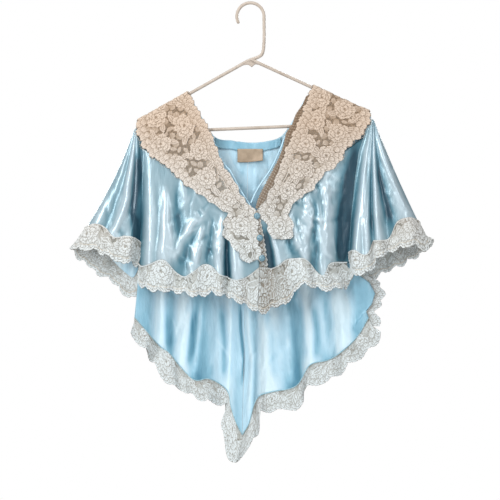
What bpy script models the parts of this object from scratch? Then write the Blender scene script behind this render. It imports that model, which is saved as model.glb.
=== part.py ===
"""Bed jacket of satin with lace yokes and lace edgings, hung on a tubular plastic hanger.

Units in the tables are millimetres. x runs to the viewer's right, "drop" is the distance below
the inner crown of the hook (the origin), and depth y is negative towards the viewer.
"left" and "right" in names are the wearer's, so the wearer's right side lies at -X.
"""
import math
from collections import namedtuple
from functools import partial

import bmesh
import bpy
import numpy as np
from mathutils import Vector
from mathutils.bvhtree import BVHTree

MM = 0.001

# Walls and clearances
SATIN_WALL = 1.4
LACE_WALL = 1.2
SEAM_GAP = 0.3
LAY_GAP = 0.65        # lace to the satin that it lies on

# Hanger: a 6 mm tube, tilted a little on its nail
TUBE_RADIUS = 3.0
TUBE_SIDES = 4        # bevel resolution of the round tube
APEX_X = -1.0
APEX_DROP = 101.0
ARM_SLOPE = math.radians(27.0)
HANGER_TILT = math.radians(2.4)
ARM_END = {"right": -212.0, "left": 224.0}   # where the arm and the end round would meet
BAR_END = {"right": -186.0, "left": 196.0}
BAR_DROP = 227.5
CORNER_RADIUS = 9.0
HOOK_RADIUS = 25.0
HOOK_STRAIGHT = 66.0
HOOK_X = -1.0
HOOK_TURN = 205.0     # degrees of the round of the hook
HOOK_STEPS = 14
HOOK_BEND = 0.7       # share of the straight at which the neck starts to bend
HOOK_NECK = ((-3.0, -2.0), (-11.0, -13.0))   # x and z from the end of the straight
HOOK_ROOT = (3.0, 1.0)                       # x and z from the apex of the arms
HANGER_ROUND_STEPS = 5
WEB_RADIUS = 11.0
WEB_THICKNESS = 3.0
WEB_SIDES = 16
WEB_SHIFT = (1.0, -8.0)                      # x and z from the apex

# Depth of the hung cloth
FRONT_GRIP = 4.6      # satin front to the middle of the hanger's arm
BACK_GRIP = 5.6
FRONT_SPREAD = 23.0   # how far the fronts stand off lower down
BACK_SPREAD = 13.0
FRONT_EASE = 170.0
BACK_EASE = 120.0
RIDGE_RISE = 4.9      # lace above the middle of the hanger's arm
ARMHOLE_DEPTH = {-1: 4.0, 1: 9.0}   # extra depth half way down the armhole, front and back
SIDE_TURN = 2.2       # strands over which a panel turns in to its side seam
TIP_DROP = 2.0        # top of the sleeve below the shoulder tip

# Lace edges
SCALLOP_PITCH = 31.0
SCALLOP_DEPTH = 5.0
NECK_SCALLOP = 0.6    # depth of the neck edge's scallops to that of the outer edge's
EDGING_LEAN = 0.25    # how much of the cloth's slope at the hem the lace keeps
HEM_SAMPLE = 0.9      # share of the length from which that slope is read

# Grid of the cloth
STEPS = 2             # columns of cloth to each row of a table
FRONT_ROWS = 10
BACK_ROWS = 15
SLEEVE_ROWS = 9
YOKE_ACROSS = 10
EDGING_SAMPLES = 41   # steps down a panel when a point is looked up along it

# How the cloth hangs
FOLD_START = 0.1      # share of a panel's length over which it hangs flat below its top
FOLD_GROWTH = {-1: 1.4, 1: 0.8}   # how late the folds deepen, front and back
SHOULDER_SEAM = 1.5   # top of the back above the middle of the hanger's arm
SEAM_HALF = 0.9       # from the seam plane to the middle of the wall on either side
SEAM_SHIFT = 0.55     # from the side seam line to the edge of the panel and of the sleeve
SLEEVE_FILL = 0.55    # below 1 the sleeve fills out soon below the shoulder tip
SLEEVE_PARTING = 0.05 # how fast the sleeve and the side seam part below the underarm
SLEEVE_TIP_REACH = 6.0
SLEEVE_BOW = {"right": 8.0, "left": -3.0}
YOKE_LIFT = 1.9       # yoke in front of the middle of the satin
RIDGE_ANGLES = (-58.0, -15.0, 28.0)
ROLL_DEPTH = (-0.3, 2.3)   # behind the front's middle, at the shoulder and at the centre front
YOKE_CLEARANCE = 0.25 # spare room between the yoke and the cloth it lies on
YOKE_SPREAD = 2.5     # how far round a point the cloth under it is looked for
LABEL_SPREAD = 2.0
FAR = 200.0           # in front of everything, where a look through the jacket starts
WELD = 0.00005        # metres within which points are joined

# Which way a grid's own normals are turned to point out of the jacket
OUTWARD = {
    ("front", "right"): -1, ("front", "left"): -1,
    ("back", "right"): -1, ("back", "left"): 1,
    ("sleeve", "right"): 1, ("sleeve", "left"): -1,
}

# Buttons, facing and label
BUTTON_RADIUS = 6.2
BUTTON_HEIGHT = 5.0
BUTTON_STEPS = 16
FACING_WALL = 1.0
FACING_DROP = 17.0    # width of the back neck facing
FACING_ROWS = (0.06, 0.5, 1.0)   # shares of its width at which its rows lie
NECK_COLUMNS = 12     # columns of each back half that end at the neck
LABEL_WALL = 1.0
LABEL_X = (-25.0, 22.0)
LABEL_DROP = (265.0, 290.0)
LABEL_GRID = (9, 4)
ROLL_ACROSS = 4

# The side seam and armhole, from shoulder tip to hem: one line for each side
Station = namedtuple("Station", "drop x")
SIDE_LINE = {
    "right": (
        Station(227, -208),
        Station(273, -197),
        Station(324, -198),
        Station(401, -201),
        Station(474, -204),
        Station(525, -208),
        Station(586, -214),
    ),
    "left": (
        Station(209, 220),
        Station(242, 209),
        Station(273, 199),
        Station(324, 192),
        Station(401, 185),
        Station(474, 181),
        Station(525, 194),
        Station(584, 218),
    ),
}
SHOULDER_TIP = {"right": 227.0, "left": 210.0}
UNDERARM = {"right": 401.0, "left": 401.0}

# A strand runs down the cloth along the crest or the valley of a fold.
# fold: depth of the crest (-) or valley (+) at the hem; bow: sideways swing at mid length;
# lace_x, lace_drop: outer edge of the lace there; lace_top: drop at which the lace begins
Strand = namedtuple("Strand", "top_x top_drop hem_x hem_drop fold bow lace_x lace_drop lace_top")
FRONT = {
    "right": (
        Strand(-199, 262, -205, 490, 0, 0, -208, 509, 476),
        Strand(-194, 267, -199, 498, 3, 0, -199, 516, 481),
        Strand(-185, 271, -187, 501, 0, 0, -187, 520, 478),
        Strand(-170, 276, -174, 507, 1, 0, -174, 525, 472),
        Strand(-157, 287, -158, 507, -6, 0, -158, 523, 470),
        Strand(-141, 302, -139, 509, 2, 0, -139, 527, 490),
        Strand(-123, 313, -121, 511, 1, 0, -121, 527, 500),
        Strand(-102, 328, -104, 514, -6, 0, -104, 533, 490),
        Strand(-86, 339, -88, 514, 0, 0, -88, 533, 478),
        Strand(-73, 350, -71, 511, 2, 0, -71, 527, 481),
        Strand(-60, 361, -56, 514, -6, 0, -56, 531, 496),
        Strand(-49, 370, -42, 516, 8, 0, -42, 534, 501),
        Strand(-35, 373, -26, 523, -5, 0, -26, 542, 492),
        Strand(-18, 375, -7, 534, -1, 3, -7, 551, 481),
        Strand(6, 384, 12, 545, 0, 6, 12, 564, 483),
    ),
    "left": (
        Strand(6, 384, 12, 545, 0, 6, 12, 564, 483),
        Strand(11, 379, 28, 541, 5, 4, 27, 563, 483),
        Strand(17, 372, 44, 533, 6, 2, 43, 552, 485),
        Strand(28, 361, 58, 527, -8, 0, 58, 550, 480),
        Strand(44, 354, 72, 516, -6, 0, 73, 536, 469),
        Strand(62, 350, 88, 500, -2, 0, 88, 515, 467),
        Strand(79, 340, 103, 498, -5, 0, 103, 514, 468),
        Strand(93, 329, 118, 501, 3, 0, 119, 518, 487),
        Strand(106, 322, 133, 505, -5, 0, 135, 522, 498),
        Strand(119, 311, 145, 503, -2, 0, 150, 522, 478),
        Strand(135, 293, 155, 501, 2, 0, 161, 518, 474),
        Strand(163, 271, 165, 500, 5, 0, 171, 520, 474),
        Strand(199, 242, 176, 492, 0, 0, 183, 514, 474),
    ),
}
BACK = {
    "right": (
        Strand(-5, 253, -16, 800, -9, 0, -26, 847, 791),
        Strand(-15, 252, -27, 781, -6, 0, -42, 829, 770),
        Strand(-22, 251, -37, 754, 3, 0, -53, 778, 741),
        Strand(-27, 251, -42, 730, 10, 0, -46, 743, 716),
        Strand(-35, 249, -55, 717, 8, 0, -55, 736, 701),
        Strand(-66, 243, -79, 710, -4, 0, -79, 730, 688),
        Strand(-93, 203, -104, 701, -9, 0, -102, 721, 690),
        Strand(-113, 170, -130, 684, 6, 0, -126, 710, 668),
        Strand(-134, 173, -152, 666, -6, 0, -154, 695, 640),
        Strand(-156, 185, -170, 646, 6, 0, -179, 664, 628),
        Strand(-183, 199, -192, 619, -8, 0, -192, 635, 600),
        Strand(-208, 218, -214, 586, 0, 0, -221, 608, 573),
    ),
    "left": (
        Strand(-5, 253, -16, 800, -9, 0, -26, 847, 791),
        Strand(4, 253, -4, 778, -9, 0, -7, 816, 770),
        Strand(11, 253, 5, 750, -7, 0, 13, 787, 737),
        Strand(18, 252, 15, 732, 2, 0, 18, 754, 721),
        Strand(27, 251, 38, 728, 9, 0, 38, 748, 714),
        Strand(55, 242, 84, 716, -8, 0, 92, 739, 701),
        Strand(79, 210, 110, 683, 7, 0, 104, 706, 664),
        Strand(106, 165, 145, 672, -5, 0, 150, 688, 653),
        Strand(134, 156, 174, 648, 6, 0, 181, 664, 635),
        Strand(174, 174, 201, 620, -8, 0, 218, 633, 584),
        Strand(216, 198, 221, 584, 0, 0, 234, 606, 540),
    ),
}

# A ray fans out from the shoulder tip to the sleeve's hem, from the front of the underarm
# seam round the outer edge to the back of it
Ray = namedtuple("Ray", "hem_x hem_drop depth lace_x lace_drop lace_top")
SLEEVE = {
    "right": (
        Ray(-204, 467, 0, -206, 489, 441),
        Ray(-210, 459, -15, -214, 476, 434),
        Ray(-221, 452, -28, -223, 470, 428),
        Ray(-236, 448, -25, -238, 474, 426),
        Ray(-253, 443, -29, -254, 463, 428),
        Ray(-273, 434, -21, -274, 456, 412),
        Ray(-291, 425, -21, -293, 448, 404),
        Ray(-306, 425, -13, -315, 450, 408),
        Ray(-316, 434, -2, -329, 447, 414),
        Ray(-309, 450, 8, -318, 465, 430),
        Ray(-291, 467, 15, -300, 476, 450),
        Ray(-271, 478, 8, -282, 494, 458),
        Ray(-251, 492, 16, -258, 505, 478),
        Ray(-234, 509, 9, -240, 525, 492),
        Ray(-218, 514, 14, -220, 538, 500),
        Ray(-204, 492, 0, -203, 522, 474),
    ),
    "left": (
        Ray(178, 485, 0, 181, 511, 459),
        Ray(181, 476, -15, 183, 503, 454),
        Ray(188, 472, -28, 192, 496, 452),
        Ray(201, 472, -29, 203, 492, 459),
        Ray(212, 468, -33, 212, 490, 458),
        Ray(223, 458, -25, 225, 476, 436),
        Ray(234, 447, -31, 234, 461, 434),
        Ray(253, 439, -22, 253, 454, 430),
        Ray(273, 426, -24, 271, 447, 401),
        Ray(293, 419, -26, 293, 441, 393),
        Ray(311, 421, -15, 317, 450, 395),
        Ray(320, 428, -3, 333, 434, 404),
        Ray(311, 441, 8, 317, 454, 423),
        Ray(291, 456, 15, 296, 467, 437),
        Ray(271, 467, 8, 274, 479, 448),
        Ray(251, 474, 16, 253, 487, 456),
        Ray(229, 481, 9, 231, 500, 463),
        Ray(207, 487, 15, 209, 512, 467),
        Ray(181, 489, 0, 188, 518, 470),
    ),
}

# Sections across each lace yoke, from the neck edge to the outer edge
Section = namedtuple("Section", "neck_x neck_drop outer_x outer_drop")
YOKE = {
    "right": (
        Section(-113, 161, -211, 223),
        Section(-106, 174, -208, 243),
        Section(-97, 190, -194, 271),
        Section(-88, 209, -176, 285),
        Section(-79, 225, -156, 298),
        Section(-71, 245, -134, 318),
        Section(-62, 271, -112, 335),
        Section(-49, 302, -88, 350),
        Section(-31, 329, -66, 366),
        Section(-15, 359, -42, 384),
        Section(5, 381, -48, 403),
        Section(10, 404, -46, 425),
        Section(12, 426, -31, 443),
        Section(15, 450, -16, 463),
        Section(16, 468, -4, 476),
    ),
    "left": (
        Section(110, 150, 221, 206),
        Section(104, 167, 216, 221),
        Section(97, 185, 205, 240),
        Section(90, 207, 192, 251),
        Section(82, 227, 174, 265),
        Section(73, 247, 165, 284),
        Section(64, 269, 150, 300),
        Section(57, 293, 128, 315),
        Section(46, 324, 110, 340),
        Section(35, 348, 88, 355),
        Section(24, 368, 68, 375),
        Section(14, 384, 68, 389),
        Section(27, 401, 75, 414),
        Section(35, 419, 70, 428),
        Section(40, 432, 57, 433),
    ),
}
# The lace neck edge that is rolled under on the wearer's left
ROLL = (
    Section(101, 170, 108, 165),
    Section(93, 187, 102, 183),
    Section(82, 203, 95, 201),
    Section(75, 221, 88, 221),
    Section(64, 238, 81, 240),
    Section(59, 260, 73, 264),
    Section(51, 282, 66, 289),
    Section(40, 304, 55, 315),
    Section(27, 329, 42, 340),
    Section(13, 357, 27, 364),
    Section(8, 375, 16, 381),
)
BUTTONS = (
    Station(390, 11),
    Station(430, 16),
    Station(467, 20),
)


def smooth(values, where):
    """Read a column of a table between its rows, on a curve through every row."""
    values = np.asarray(values, float)
    slopes = np.gradient(values)
    row = np.clip(np.floor(where).astype(int), 0, len(values) - 2)
    t = where - row
    start, end = values[row], values[row + 1]
    return (start * (1 + 2 * t) * (1 - t) ** 2 + slopes[row] * t * (1 - t) ** 2
            + end * t * t * (3 - 2 * t) + slopes[row + 1] * t * t * (t - 1))


def columns_of(table):
    """Spread a table's rows into columns of cloth, a few to each row."""
    where = np.linspace(0, len(table) - 1, (len(table) - 1) * STEPS + 1)
    read = {name: smooth([getattr(row, name) for row in table], where) for name in table[0]._fields}
    return where, read


def arm_drop(x):
    """Drop of the middle of the hanger's arm at x."""
    left_slope = math.tan(ARM_SLOPE - HANGER_TILT)
    right_slope = math.tan(ARM_SLOPE + HANGER_TILT)
    reach = np.asarray(x, float) - APEX_X
    return APEX_DROP + np.where(reach > 0, reach * left_slope, -reach * right_slope)


def base_depth(x, drop, sheet):
    """Depth of the unfolded cloth: sheet is -1 in front of the hanger and +1 behind it."""
    below = np.maximum(drop - arm_drop(x), 0)
    if sheet < 0:
        return -FRONT_GRIP - FRONT_SPREAD * (1 - np.exp(-below / FRONT_EASE))
    return BACK_GRIP + BACK_SPREAD * (1 - np.exp(-below / BACK_EASE))


def side_x(side, drop):
    """The armhole and side seam line."""
    line = SIDE_LINE[side]
    return np.interp(drop, [s.drop for s in line], [s.x for s in line])


def side_depth(side, drop, sheet):
    """Depth of a panel's edge along the armhole, closing at the underarm."""
    t = np.clip((drop - SHOULDER_TIP[side]) / (UNDERARM[side] - SHOULDER_TIP[side]), 0, 1)
    half = FRONT_GRIP * (1 - t) + ARMHOLE_DEPTH[sheet] * np.sin(np.pi * t)
    return sheet * (half + SEAM_HALF)


def towards_side(where, side_row):
    """1 at the side strand, easing to 0 over the strands next to it."""
    away = np.clip(np.abs(where - side_row) / SIDE_TURN, 0, 1)
    return (1 - away) ** 2 * (1 + 2 * away)


def panel_points(side, table, sheet, lengths, side_row):
    """Points of a hanging panel: one row for each fraction of its length, one column a strand.

    The side seam is at side_row and the middle of the jacket at the table's other end."""
    outward = -1 if side == "right" else 1
    seam_shift = -outward * SEAM_SHIFT
    where, col = columns_of(table)
    v = np.asarray(lengths)[:, None]
    turn = towards_side(where, side_row)
    x = col["top_x"] + (col["hem_x"] - col["top_x"]) * v + col["bow"] * np.sin(np.pi * v)
    drop = col["top_drop"] + (col["hem_drop"] - col["top_drop"]) * v
    edge = side_row * STEPS
    shift = side_x(side, drop[:, edge]) + seam_shift - x[:, edge]
    x = x + turn * shift[:, None]
    x[:, -1 if side_row == 0 else 0] += outward * SEAM_GAP / 2
    if sheet > 0:
        drop[0] = np.maximum(drop[0], arm_drop(x[0]) - SHOULDER_SEAM)
    grow = np.clip((v - FOLD_START) / (1 - FOLD_START), 0, 1) ** FOLD_GROWTH[sheet]
    depth = base_depth(x, drop, sheet) + col["fold"] * grow
    depth = depth * (1 - turn) + side_depth(side, drop, sheet) * turn
    return np.stack([x, depth, -drop], axis=-1)


def normals_of(points):
    """Unit normals of a grid of points, from the differences between neighbours."""
    down = np.gradient(points, axis=0)
    across = np.gradient(points, axis=1)
    normal = np.cross(across, down)
    return normal / np.maximum(np.linalg.norm(normal, axis=-1, keepdims=True), 1e-9)


def new_object(name, mesh, finish):
    """Put a mesh in the jacket as an object of one material."""
    mesh.materials.append(finish)
    piece = bpy.data.objects.new(name, mesh)
    JACKET.objects.link(piece)
    return piece


def wall(name, outside, inside, finish):
    """Close two grids of points into one thin body."""
    rows, cols = outside.shape[:2]
    shell = bmesh.new()
    faces = [[[shell.verts.new(Vector(p) * MM) for p in row] for row in grid]
             for grid in (outside, inside)]
    for grid in faces:
        for i in range(rows - 1):
            for j in range(cols - 1):
                shell.faces.new((grid[i][j], grid[i][j + 1], grid[i + 1][j + 1], grid[i + 1][j]))
    rim = [(0, j) for j in range(cols)]
    rim += [(i, cols - 1) for i in range(1, rows)]
    rim += [(rows - 1, j) for j in range(cols - 2, -1, -1)]
    rim += [(i, 0) for i in range(rows - 2, 0, -1)]
    outer, inner = faces
    for (a, b), (c, d) in zip(rim, rim[1:] + rim[:1]):
        shell.faces.new((outer[a][b], outer[c][d], inner[c][d], inner[a][b]))
    bmesh.ops.recalc_face_normals(shell, faces=shell.faces)
    bmesh.ops.triangulate(shell, faces=shell.faces, quad_method="FIXED")
    mesh = bpy.data.meshes.new(name)
    shell.to_mesh(mesh)
    shell.free()
    mesh.shade_smooth()
    return new_object(name, mesh, finish)


def cloth(name, points, thickness, finish, lift=0.0, middle=None):
    """A wall of even thickness round a grid, moved out along its normals by lift.

    The column named middle meets its twin, so its edge is kept square to the seam."""
    normal = normals_of(points)
    if middle is not None:
        normal[:, middle, 0] = 0
        normal /= np.linalg.norm(normal, axis=-1, keepdims=True)
    centre = points + normal * lift
    return wall(name, centre + normal * thickness / 2, centre - normal * thickness / 2, finish)


def scallops(line, pitch=SCALLOP_PITCH):
    """How far each point of an edge stands out, from 0 between scallops to 1."""
    step = np.linalg.norm(np.diff(line, axis=0), axis=1)
    run = np.concatenate([[0], np.cumsum(step)])
    count = max(1, round(run[-1] / pitch))
    return np.abs(np.sin(np.pi * count * run / run[-1]))


def edging(points_at, table, middle, first, last):
    """Lace along a hem: its rows lie on the panel's own points and then pass beyond the hem.

    The column named middle meets the other half of the jacket."""
    where, col = columns_of(table)
    hem = points_at([1.0])[0]
    top = points_at([0.0])[0]
    rise = (col["hem_drop"] - col["lace_top"]) / np.maximum(hem[:, 2] * -1 + top[:, 2], 1.0)
    rows = [points_at_fraction(points_at, 1 - rise * k) for k in (1.0, 0.5)]
    rows.append(hem)
    out = np.stack([col["lace_x"], hem[:, 1], -col["lace_drop"]], axis=-1)
    if middle is not None:
        out[middle, 0] += hem[middle, 0] - col["hem_x"][middle]
    reach = out - hem
    wave = scallops(hem)[:, None] * SCALLOP_DEPTH
    length = np.maximum(np.linalg.norm(reach, axis=1, keepdims=True), 1.0)
    slope = hem[:, 1] - points_at([HEM_SAMPLE])[0][:, 1]
    for part in (0.5, 1.0):
        row = hem + reach * part + reach / length * (wave - SCALLOP_DEPTH / 2) * part
        row[:, 1] += slope * part * EDGING_LEAN
        if middle is not None:
            row[middle, 0] = out[middle, 0] * part + hem[middle, 0] * (1 - part)
        rows.append(row)
    return np.array(rows)[:, first:last]


def points_at_fraction(points_at, fractions):
    """One point a column, each at its own fraction of the panel's length."""
    fractions = np.clip(fractions, 0, 1)
    grid = points_at(np.linspace(0, 1, EDGING_SAMPLES))
    place = fractions * (EDGING_SAMPLES - 1)
    row = np.clip(np.floor(place).astype(int), 0, EDGING_SAMPLES - 2)
    part = (place - row)[:, None]
    column = np.arange(grid.shape[1])
    return grid[row, column] * (1 - part) + grid[row + 1, column] * part


def sleeve_points(side, lengths):
    """Rays from the shoulder tip to the sleeve's hem, front, outer edge and back."""
    where, col = columns_of(SLEEVE[side])
    v = np.asarray(lengths)[:, None]
    sign = -1 if side == "right" else 1
    seam_shift = SEAM_SHIFT * sign
    tip = SHOULDER_TIP[side]
    span = where / where[-1]
    start_x = side_x(side, tip) + sign * SLEEVE_TIP_REACH * np.sin(np.pi * span)
    start_y = -FRONT_GRIP * np.cos(np.pi * span)
    x = start_x + (col["hem_x"] - start_x) * v + SLEEVE_BOW[side] * np.sin(np.pi * v)
    drop = tip + TIP_DROP + (col["hem_drop"] - tip - TIP_DROP) * v
    depth = start_y + (col["depth"] - start_y) * v ** SLEEVE_FILL
    last = len(SLEEVE[side]) - 1
    for side_row, sheet in ((0, -1), (last, 1)):
        turn = towards_side(where, side_row)
        edge = side_row * STEPS
        part_way = np.maximum(drop[:, edge] - UNDERARM[side], 0) * SLEEVE_PARTING * sign
        shift = side_x(side, drop[:, edge]) + seam_shift + part_way - x[:, edge]
        x = x + turn * shift[:, None]
        depth = depth * (1 - turn) + side_depth(side, drop, sheet) * turn
    return np.stack([x, depth, -drop], axis=-1)


def first_hits(points, trees, spread):
    """Depth of the nearest cloth seen from the front round each point, or infinity."""
    hits = np.full(points.shape[:2], np.inf)
    offsets = ((0, 0), (spread, 0), (-spread, 0), (0, spread), (0, -spread))
    for i, row in enumerate(points):
        for j, p in enumerate(row):
            for dx, dz in offsets:
                origin = Vector((p[0] + dx, -FAR, p[2] + dz)) * MM
                for tree in trees:
                    hit = tree.ray_cast(origin, Vector((0, 1, 0)))[0]
                    if hit is not None:
                        hits[i, j] = min(hits[i, j], hit.y / MM)
    return hits


def tree_of(piece):
    """Search tree over a piece's finished mesh."""
    return BVHTree.FromObject(piece, bpy.context.evaluated_depsgraph_get())


def yoke_points(side):
    """Lace yoke: over the hanger's arm at the shoulder, then down to the centre front."""
    where, col = columns_of(YOKE[side])
    neck = np.stack([col["neck_x"], -col["neck_drop"]], axis=-1)
    outer = np.stack([col["outer_x"], -col["outer_drop"]], axis=-1)
    span = outer - neck
    length = np.linalg.norm(span, axis=1, keepdims=True)
    outer = outer + span / length * (scallops(outer)[:, None] - 0.5) * SCALLOP_DEPTH
    neck = neck - span / length * (scallops(neck)[:, None] - 0.5) * SCALLOP_DEPTH * NECK_SCALLOP
    u = np.linspace(0, 1, YOKE_ACROSS)[None, :, None]
    flat = neck[:, None, :] * (1 - u) + outer[:, None, :] * u
    x, z = flat[..., 0], flat[..., 1]
    depth = base_depth(x, -z, -1) - YOKE_LIFT
    return np.stack([x, depth, z], axis=-1)


def over_arm(first_row):
    """Rows that carry the yoke up over the hanger's arm to its seam with the back."""
    grip = -(FRONT_GRIP + YOKE_LIFT)
    rows = []
    for angle in RIDGE_ANGLES:
        turn = math.radians(angle)
        row = first_row.copy()
        row[:, 1] = grip * math.sin(turn)
        row[:, 2] = -arm_drop(row[:, 0]) + RIDGE_RISE * math.cos(turn)
        rows.append(row)
    return rows


def principled(name, color, roughness):
    """A plain material of one colour."""
    finish = bpy.data.materials.new(name)
    finish.use_nodes = True
    shader = finish.node_tree.nodes["Principled BSDF"]
    shader.inputs["Base Color"].default_value = (*color, 1.0)
    shader.inputs["Roughness"].default_value = roughness
    return finish


def tube(name, points, radius, cyclic, finish):
    """A round tube through the points, made a mesh with welded caps."""
    curve = bpy.data.curves.new(name, "CURVE")
    curve.dimensions = "3D"
    curve.bevel_depth = radius * MM
    curve.bevel_resolution = TUBE_SIDES
    curve.use_fill_caps = True
    spline = curve.splines.new("POLY")
    spline.points.add(len(points) - 1)
    for point, place in zip(spline.points, points):
        point.co = (*(Vector(place) * MM), 1.0)
    spline.use_cyclic_u = cyclic
    guide = bpy.data.objects.new(name + "_path", curve)
    JACKET.objects.link(guide)
    bpy.context.view_layer.update()
    evaluated = guide.evaluated_get(bpy.context.evaluated_depsgraph_get())
    mesh = bpy.data.meshes.new_from_object(evaluated)
    bpy.data.objects.remove(guide)
    welded = bmesh.new()
    welded.from_mesh(mesh)
    bmesh.ops.remove_doubles(welded, verts=welded.verts, dist=WELD)
    bmesh.ops.recalc_face_normals(welded, faces=welded.faces)
    welded.to_mesh(mesh)
    welded.free()
    mesh.materials.clear()
    mesh.shade_smooth()
    return new_object(name, mesh, finish)


def rounded(corners, radius, steps):
    """Round each corner of a closed outline with an arc-like curve."""
    path = []
    count = len(corners)
    for i, corner in enumerate(corners):
        here = Vector(corner)
        before = (Vector(corners[i - 1]) - here).normalized()
        after = (Vector(corners[(i + 1) % count]) - here).normalized()
        half = before.angle(after) / 2
        back_off = radius / math.tan(half)
        start, end = here + before * back_off, here + after * back_off
        for k in range(steps + 1):
            t = k / steps
            path.append(start * (1 - t) ** 2 + here * (2 * t * (1 - t)) + end * t * t)
    return path


def make_hanger():
    """Triangle of tube with its hook, neck and web, joined into one moulding."""
    tilt = math.tan(HANGER_TILT)
    arm_ends = [Vector((x, 0, -arm_drop(x))) for x in (ARM_END["left"], ARM_END["right"])]
    bar_ends = [Vector((x, 0, -BAR_DROP + x * tilt)) for x in (BAR_END["left"], BAR_END["right"])]
    apex = Vector((APEX_X, 0, -APEX_DROP))
    corners = [apex, arm_ends[0], bar_ends[0], bar_ends[1], arm_ends[1]]
    outline = rounded(corners, CORNER_RADIUS, HANGER_ROUND_STEPS)
    frame = tube("hanger", outline, TUBE_RADIUS, True, PLASTIC)
    centre = Vector((HOOK_X, 0, -(HOOK_RADIUS - TUBE_RADIUS)))
    hook = []
    for k in range(HOOK_STEPS + 1):
        angle = math.radians(HOOK_TURN * (1 - k / HOOK_STEPS))
        hook.append(centre + Vector((math.cos(angle), 0, math.sin(angle))) * HOOK_RADIUS)
    hook.append(centre + Vector((HOOK_RADIUS, 0, -HOOK_STRAIGHT * HOOK_BEND)))
    straight_end = centre + Vector((HOOK_RADIUS, 0, -HOOK_STRAIGHT))
    hook += [straight_end + Vector((x, 0, z)) for x, z in HOOK_NECK]
    hook.append(apex + Vector((HOOK_ROOT[0], 0, HOOK_ROOT[1])))
    neck = tube("hook", hook, TUBE_RADIUS, False, PLASTIC)
    bpy.ops.mesh.primitive_cylinder_add(
        vertices=WEB_SIDES, radius=WEB_RADIUS * MM, depth=WEB_THICKNESS * MM)
    web = bpy.context.object
    web.data.transform(web.matrix_world)
    for vert in web.data.vertices:
        x, y, z = vert.co
        vert.co = (x, z, y)
    web.location = (apex + Vector((WEB_SHIFT[0], 0, WEB_SHIFT[1]))) * MM
    for extra in (neck, web):
        union = frame.modifiers.new("join", "BOOLEAN")
        union.operation = "UNION"
        union.solver = "EXACT"
        union.object = extra
        extra.hide_render = True
        extra.display_type = "WIRE"
        for owner in list(extra.users_collection):
            owner.objects.unlink(extra)
        CUTTERS.objects.link(extra)
    return frame


def button(name, x, drop, depth):
    """A small domed shank button, its profile turned about the line of sight."""
    profile = [(0, 0), (0.62, 0), (0.9, 0.12), (1.0, 0.36), (0.86, 0.68), (0.5, 0.93), (0, 1)]
    mesh = bpy.data.meshes.new(name)
    verts = [(r * BUTTON_RADIUS * MM, 0, h * BUTTON_HEIGHT * MM) for r, h in reversed(profile)]
    mesh.from_pydata(verts, [(i, i + 1) for i in range(len(verts) - 1)], [])
    piece = new_object(name, mesh, PEARL)
    turn = piece.modifiers.new("turned", "SCREW")
    turn.steps = BUTTON_STEPS
    turn.render_steps = BUTTON_STEPS
    turn.use_merge_vertices = True
    turn.merge_threshold = WELD
    piece.rotation_euler = (math.radians(90), 0, 0)
    piece.location = Vector((x, depth, -drop)) * MM
    return piece


def make_label(trees):
    """Blank woven label, hanging on the inside of the back below the facing."""
    columns, rows = LABEL_GRID
    x, drop = np.meshgrid(np.linspace(*LABEL_X, columns), np.linspace(*LABEL_DROP, rows))
    flat = np.stack([x, np.zeros_like(x), -drop], axis=-1)
    flat[..., 1] = rest_on(flat, trees)
    cloth("neck_label", flat, LABEL_WALL, LABEL)


def rest_on(flat, trees):
    """Depth that clears every wall behind the points by the lay gap."""
    hits = first_hits(flat, trees, LABEL_SPREAD)
    return np.min(hits) - LAY_GAP - LABEL_WALL / 2


def make_facing(back_points):
    """Narrow facing along the inside of the back neck, from both halves' own top points."""
    right, left = back_points
    strips = []
    for points in (right, left):
        top = points[0, :NECK_COLUMNS]
        below = points[1, :NECK_COLUMNS]
        run = np.linalg.norm(below - top, axis=1, keepdims=True)
        strips.append([top + (below - top) * FACING_DROP * share / run for share in FACING_ROWS])
    joined = np.concatenate([np.array(strips[0])[:, ::-1], np.array(strips[1])], axis=1)
    lift = -(SATIN_WALL / 2 + LAY_GAP + FACING_WALL / 2)
    joined[..., 1] += lift
    cloth("neck_facing", joined, FACING_WALL, SATIN)


def make_roll():
    """Lace neck edge rolled under behind the wearer's left yoke."""
    where, col = columns_of(ROLL)
    u = np.linspace(0, 1, ROLL_ACROSS)[None, :]
    x = col["neck_x"][:, None] * (1 - u) + col["outer_x"][:, None] * u
    drop = col["neck_drop"][:, None] * (1 - u) + col["outer_drop"][:, None] * u
    depth = base_depth(x, drop, -1) + np.linspace(*ROLL_DEPTH, len(where))[:, None]
    cloth("neck_roll_left", np.stack([x, depth, -drop], axis=-1), LACE_WALL, LACE)


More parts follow.
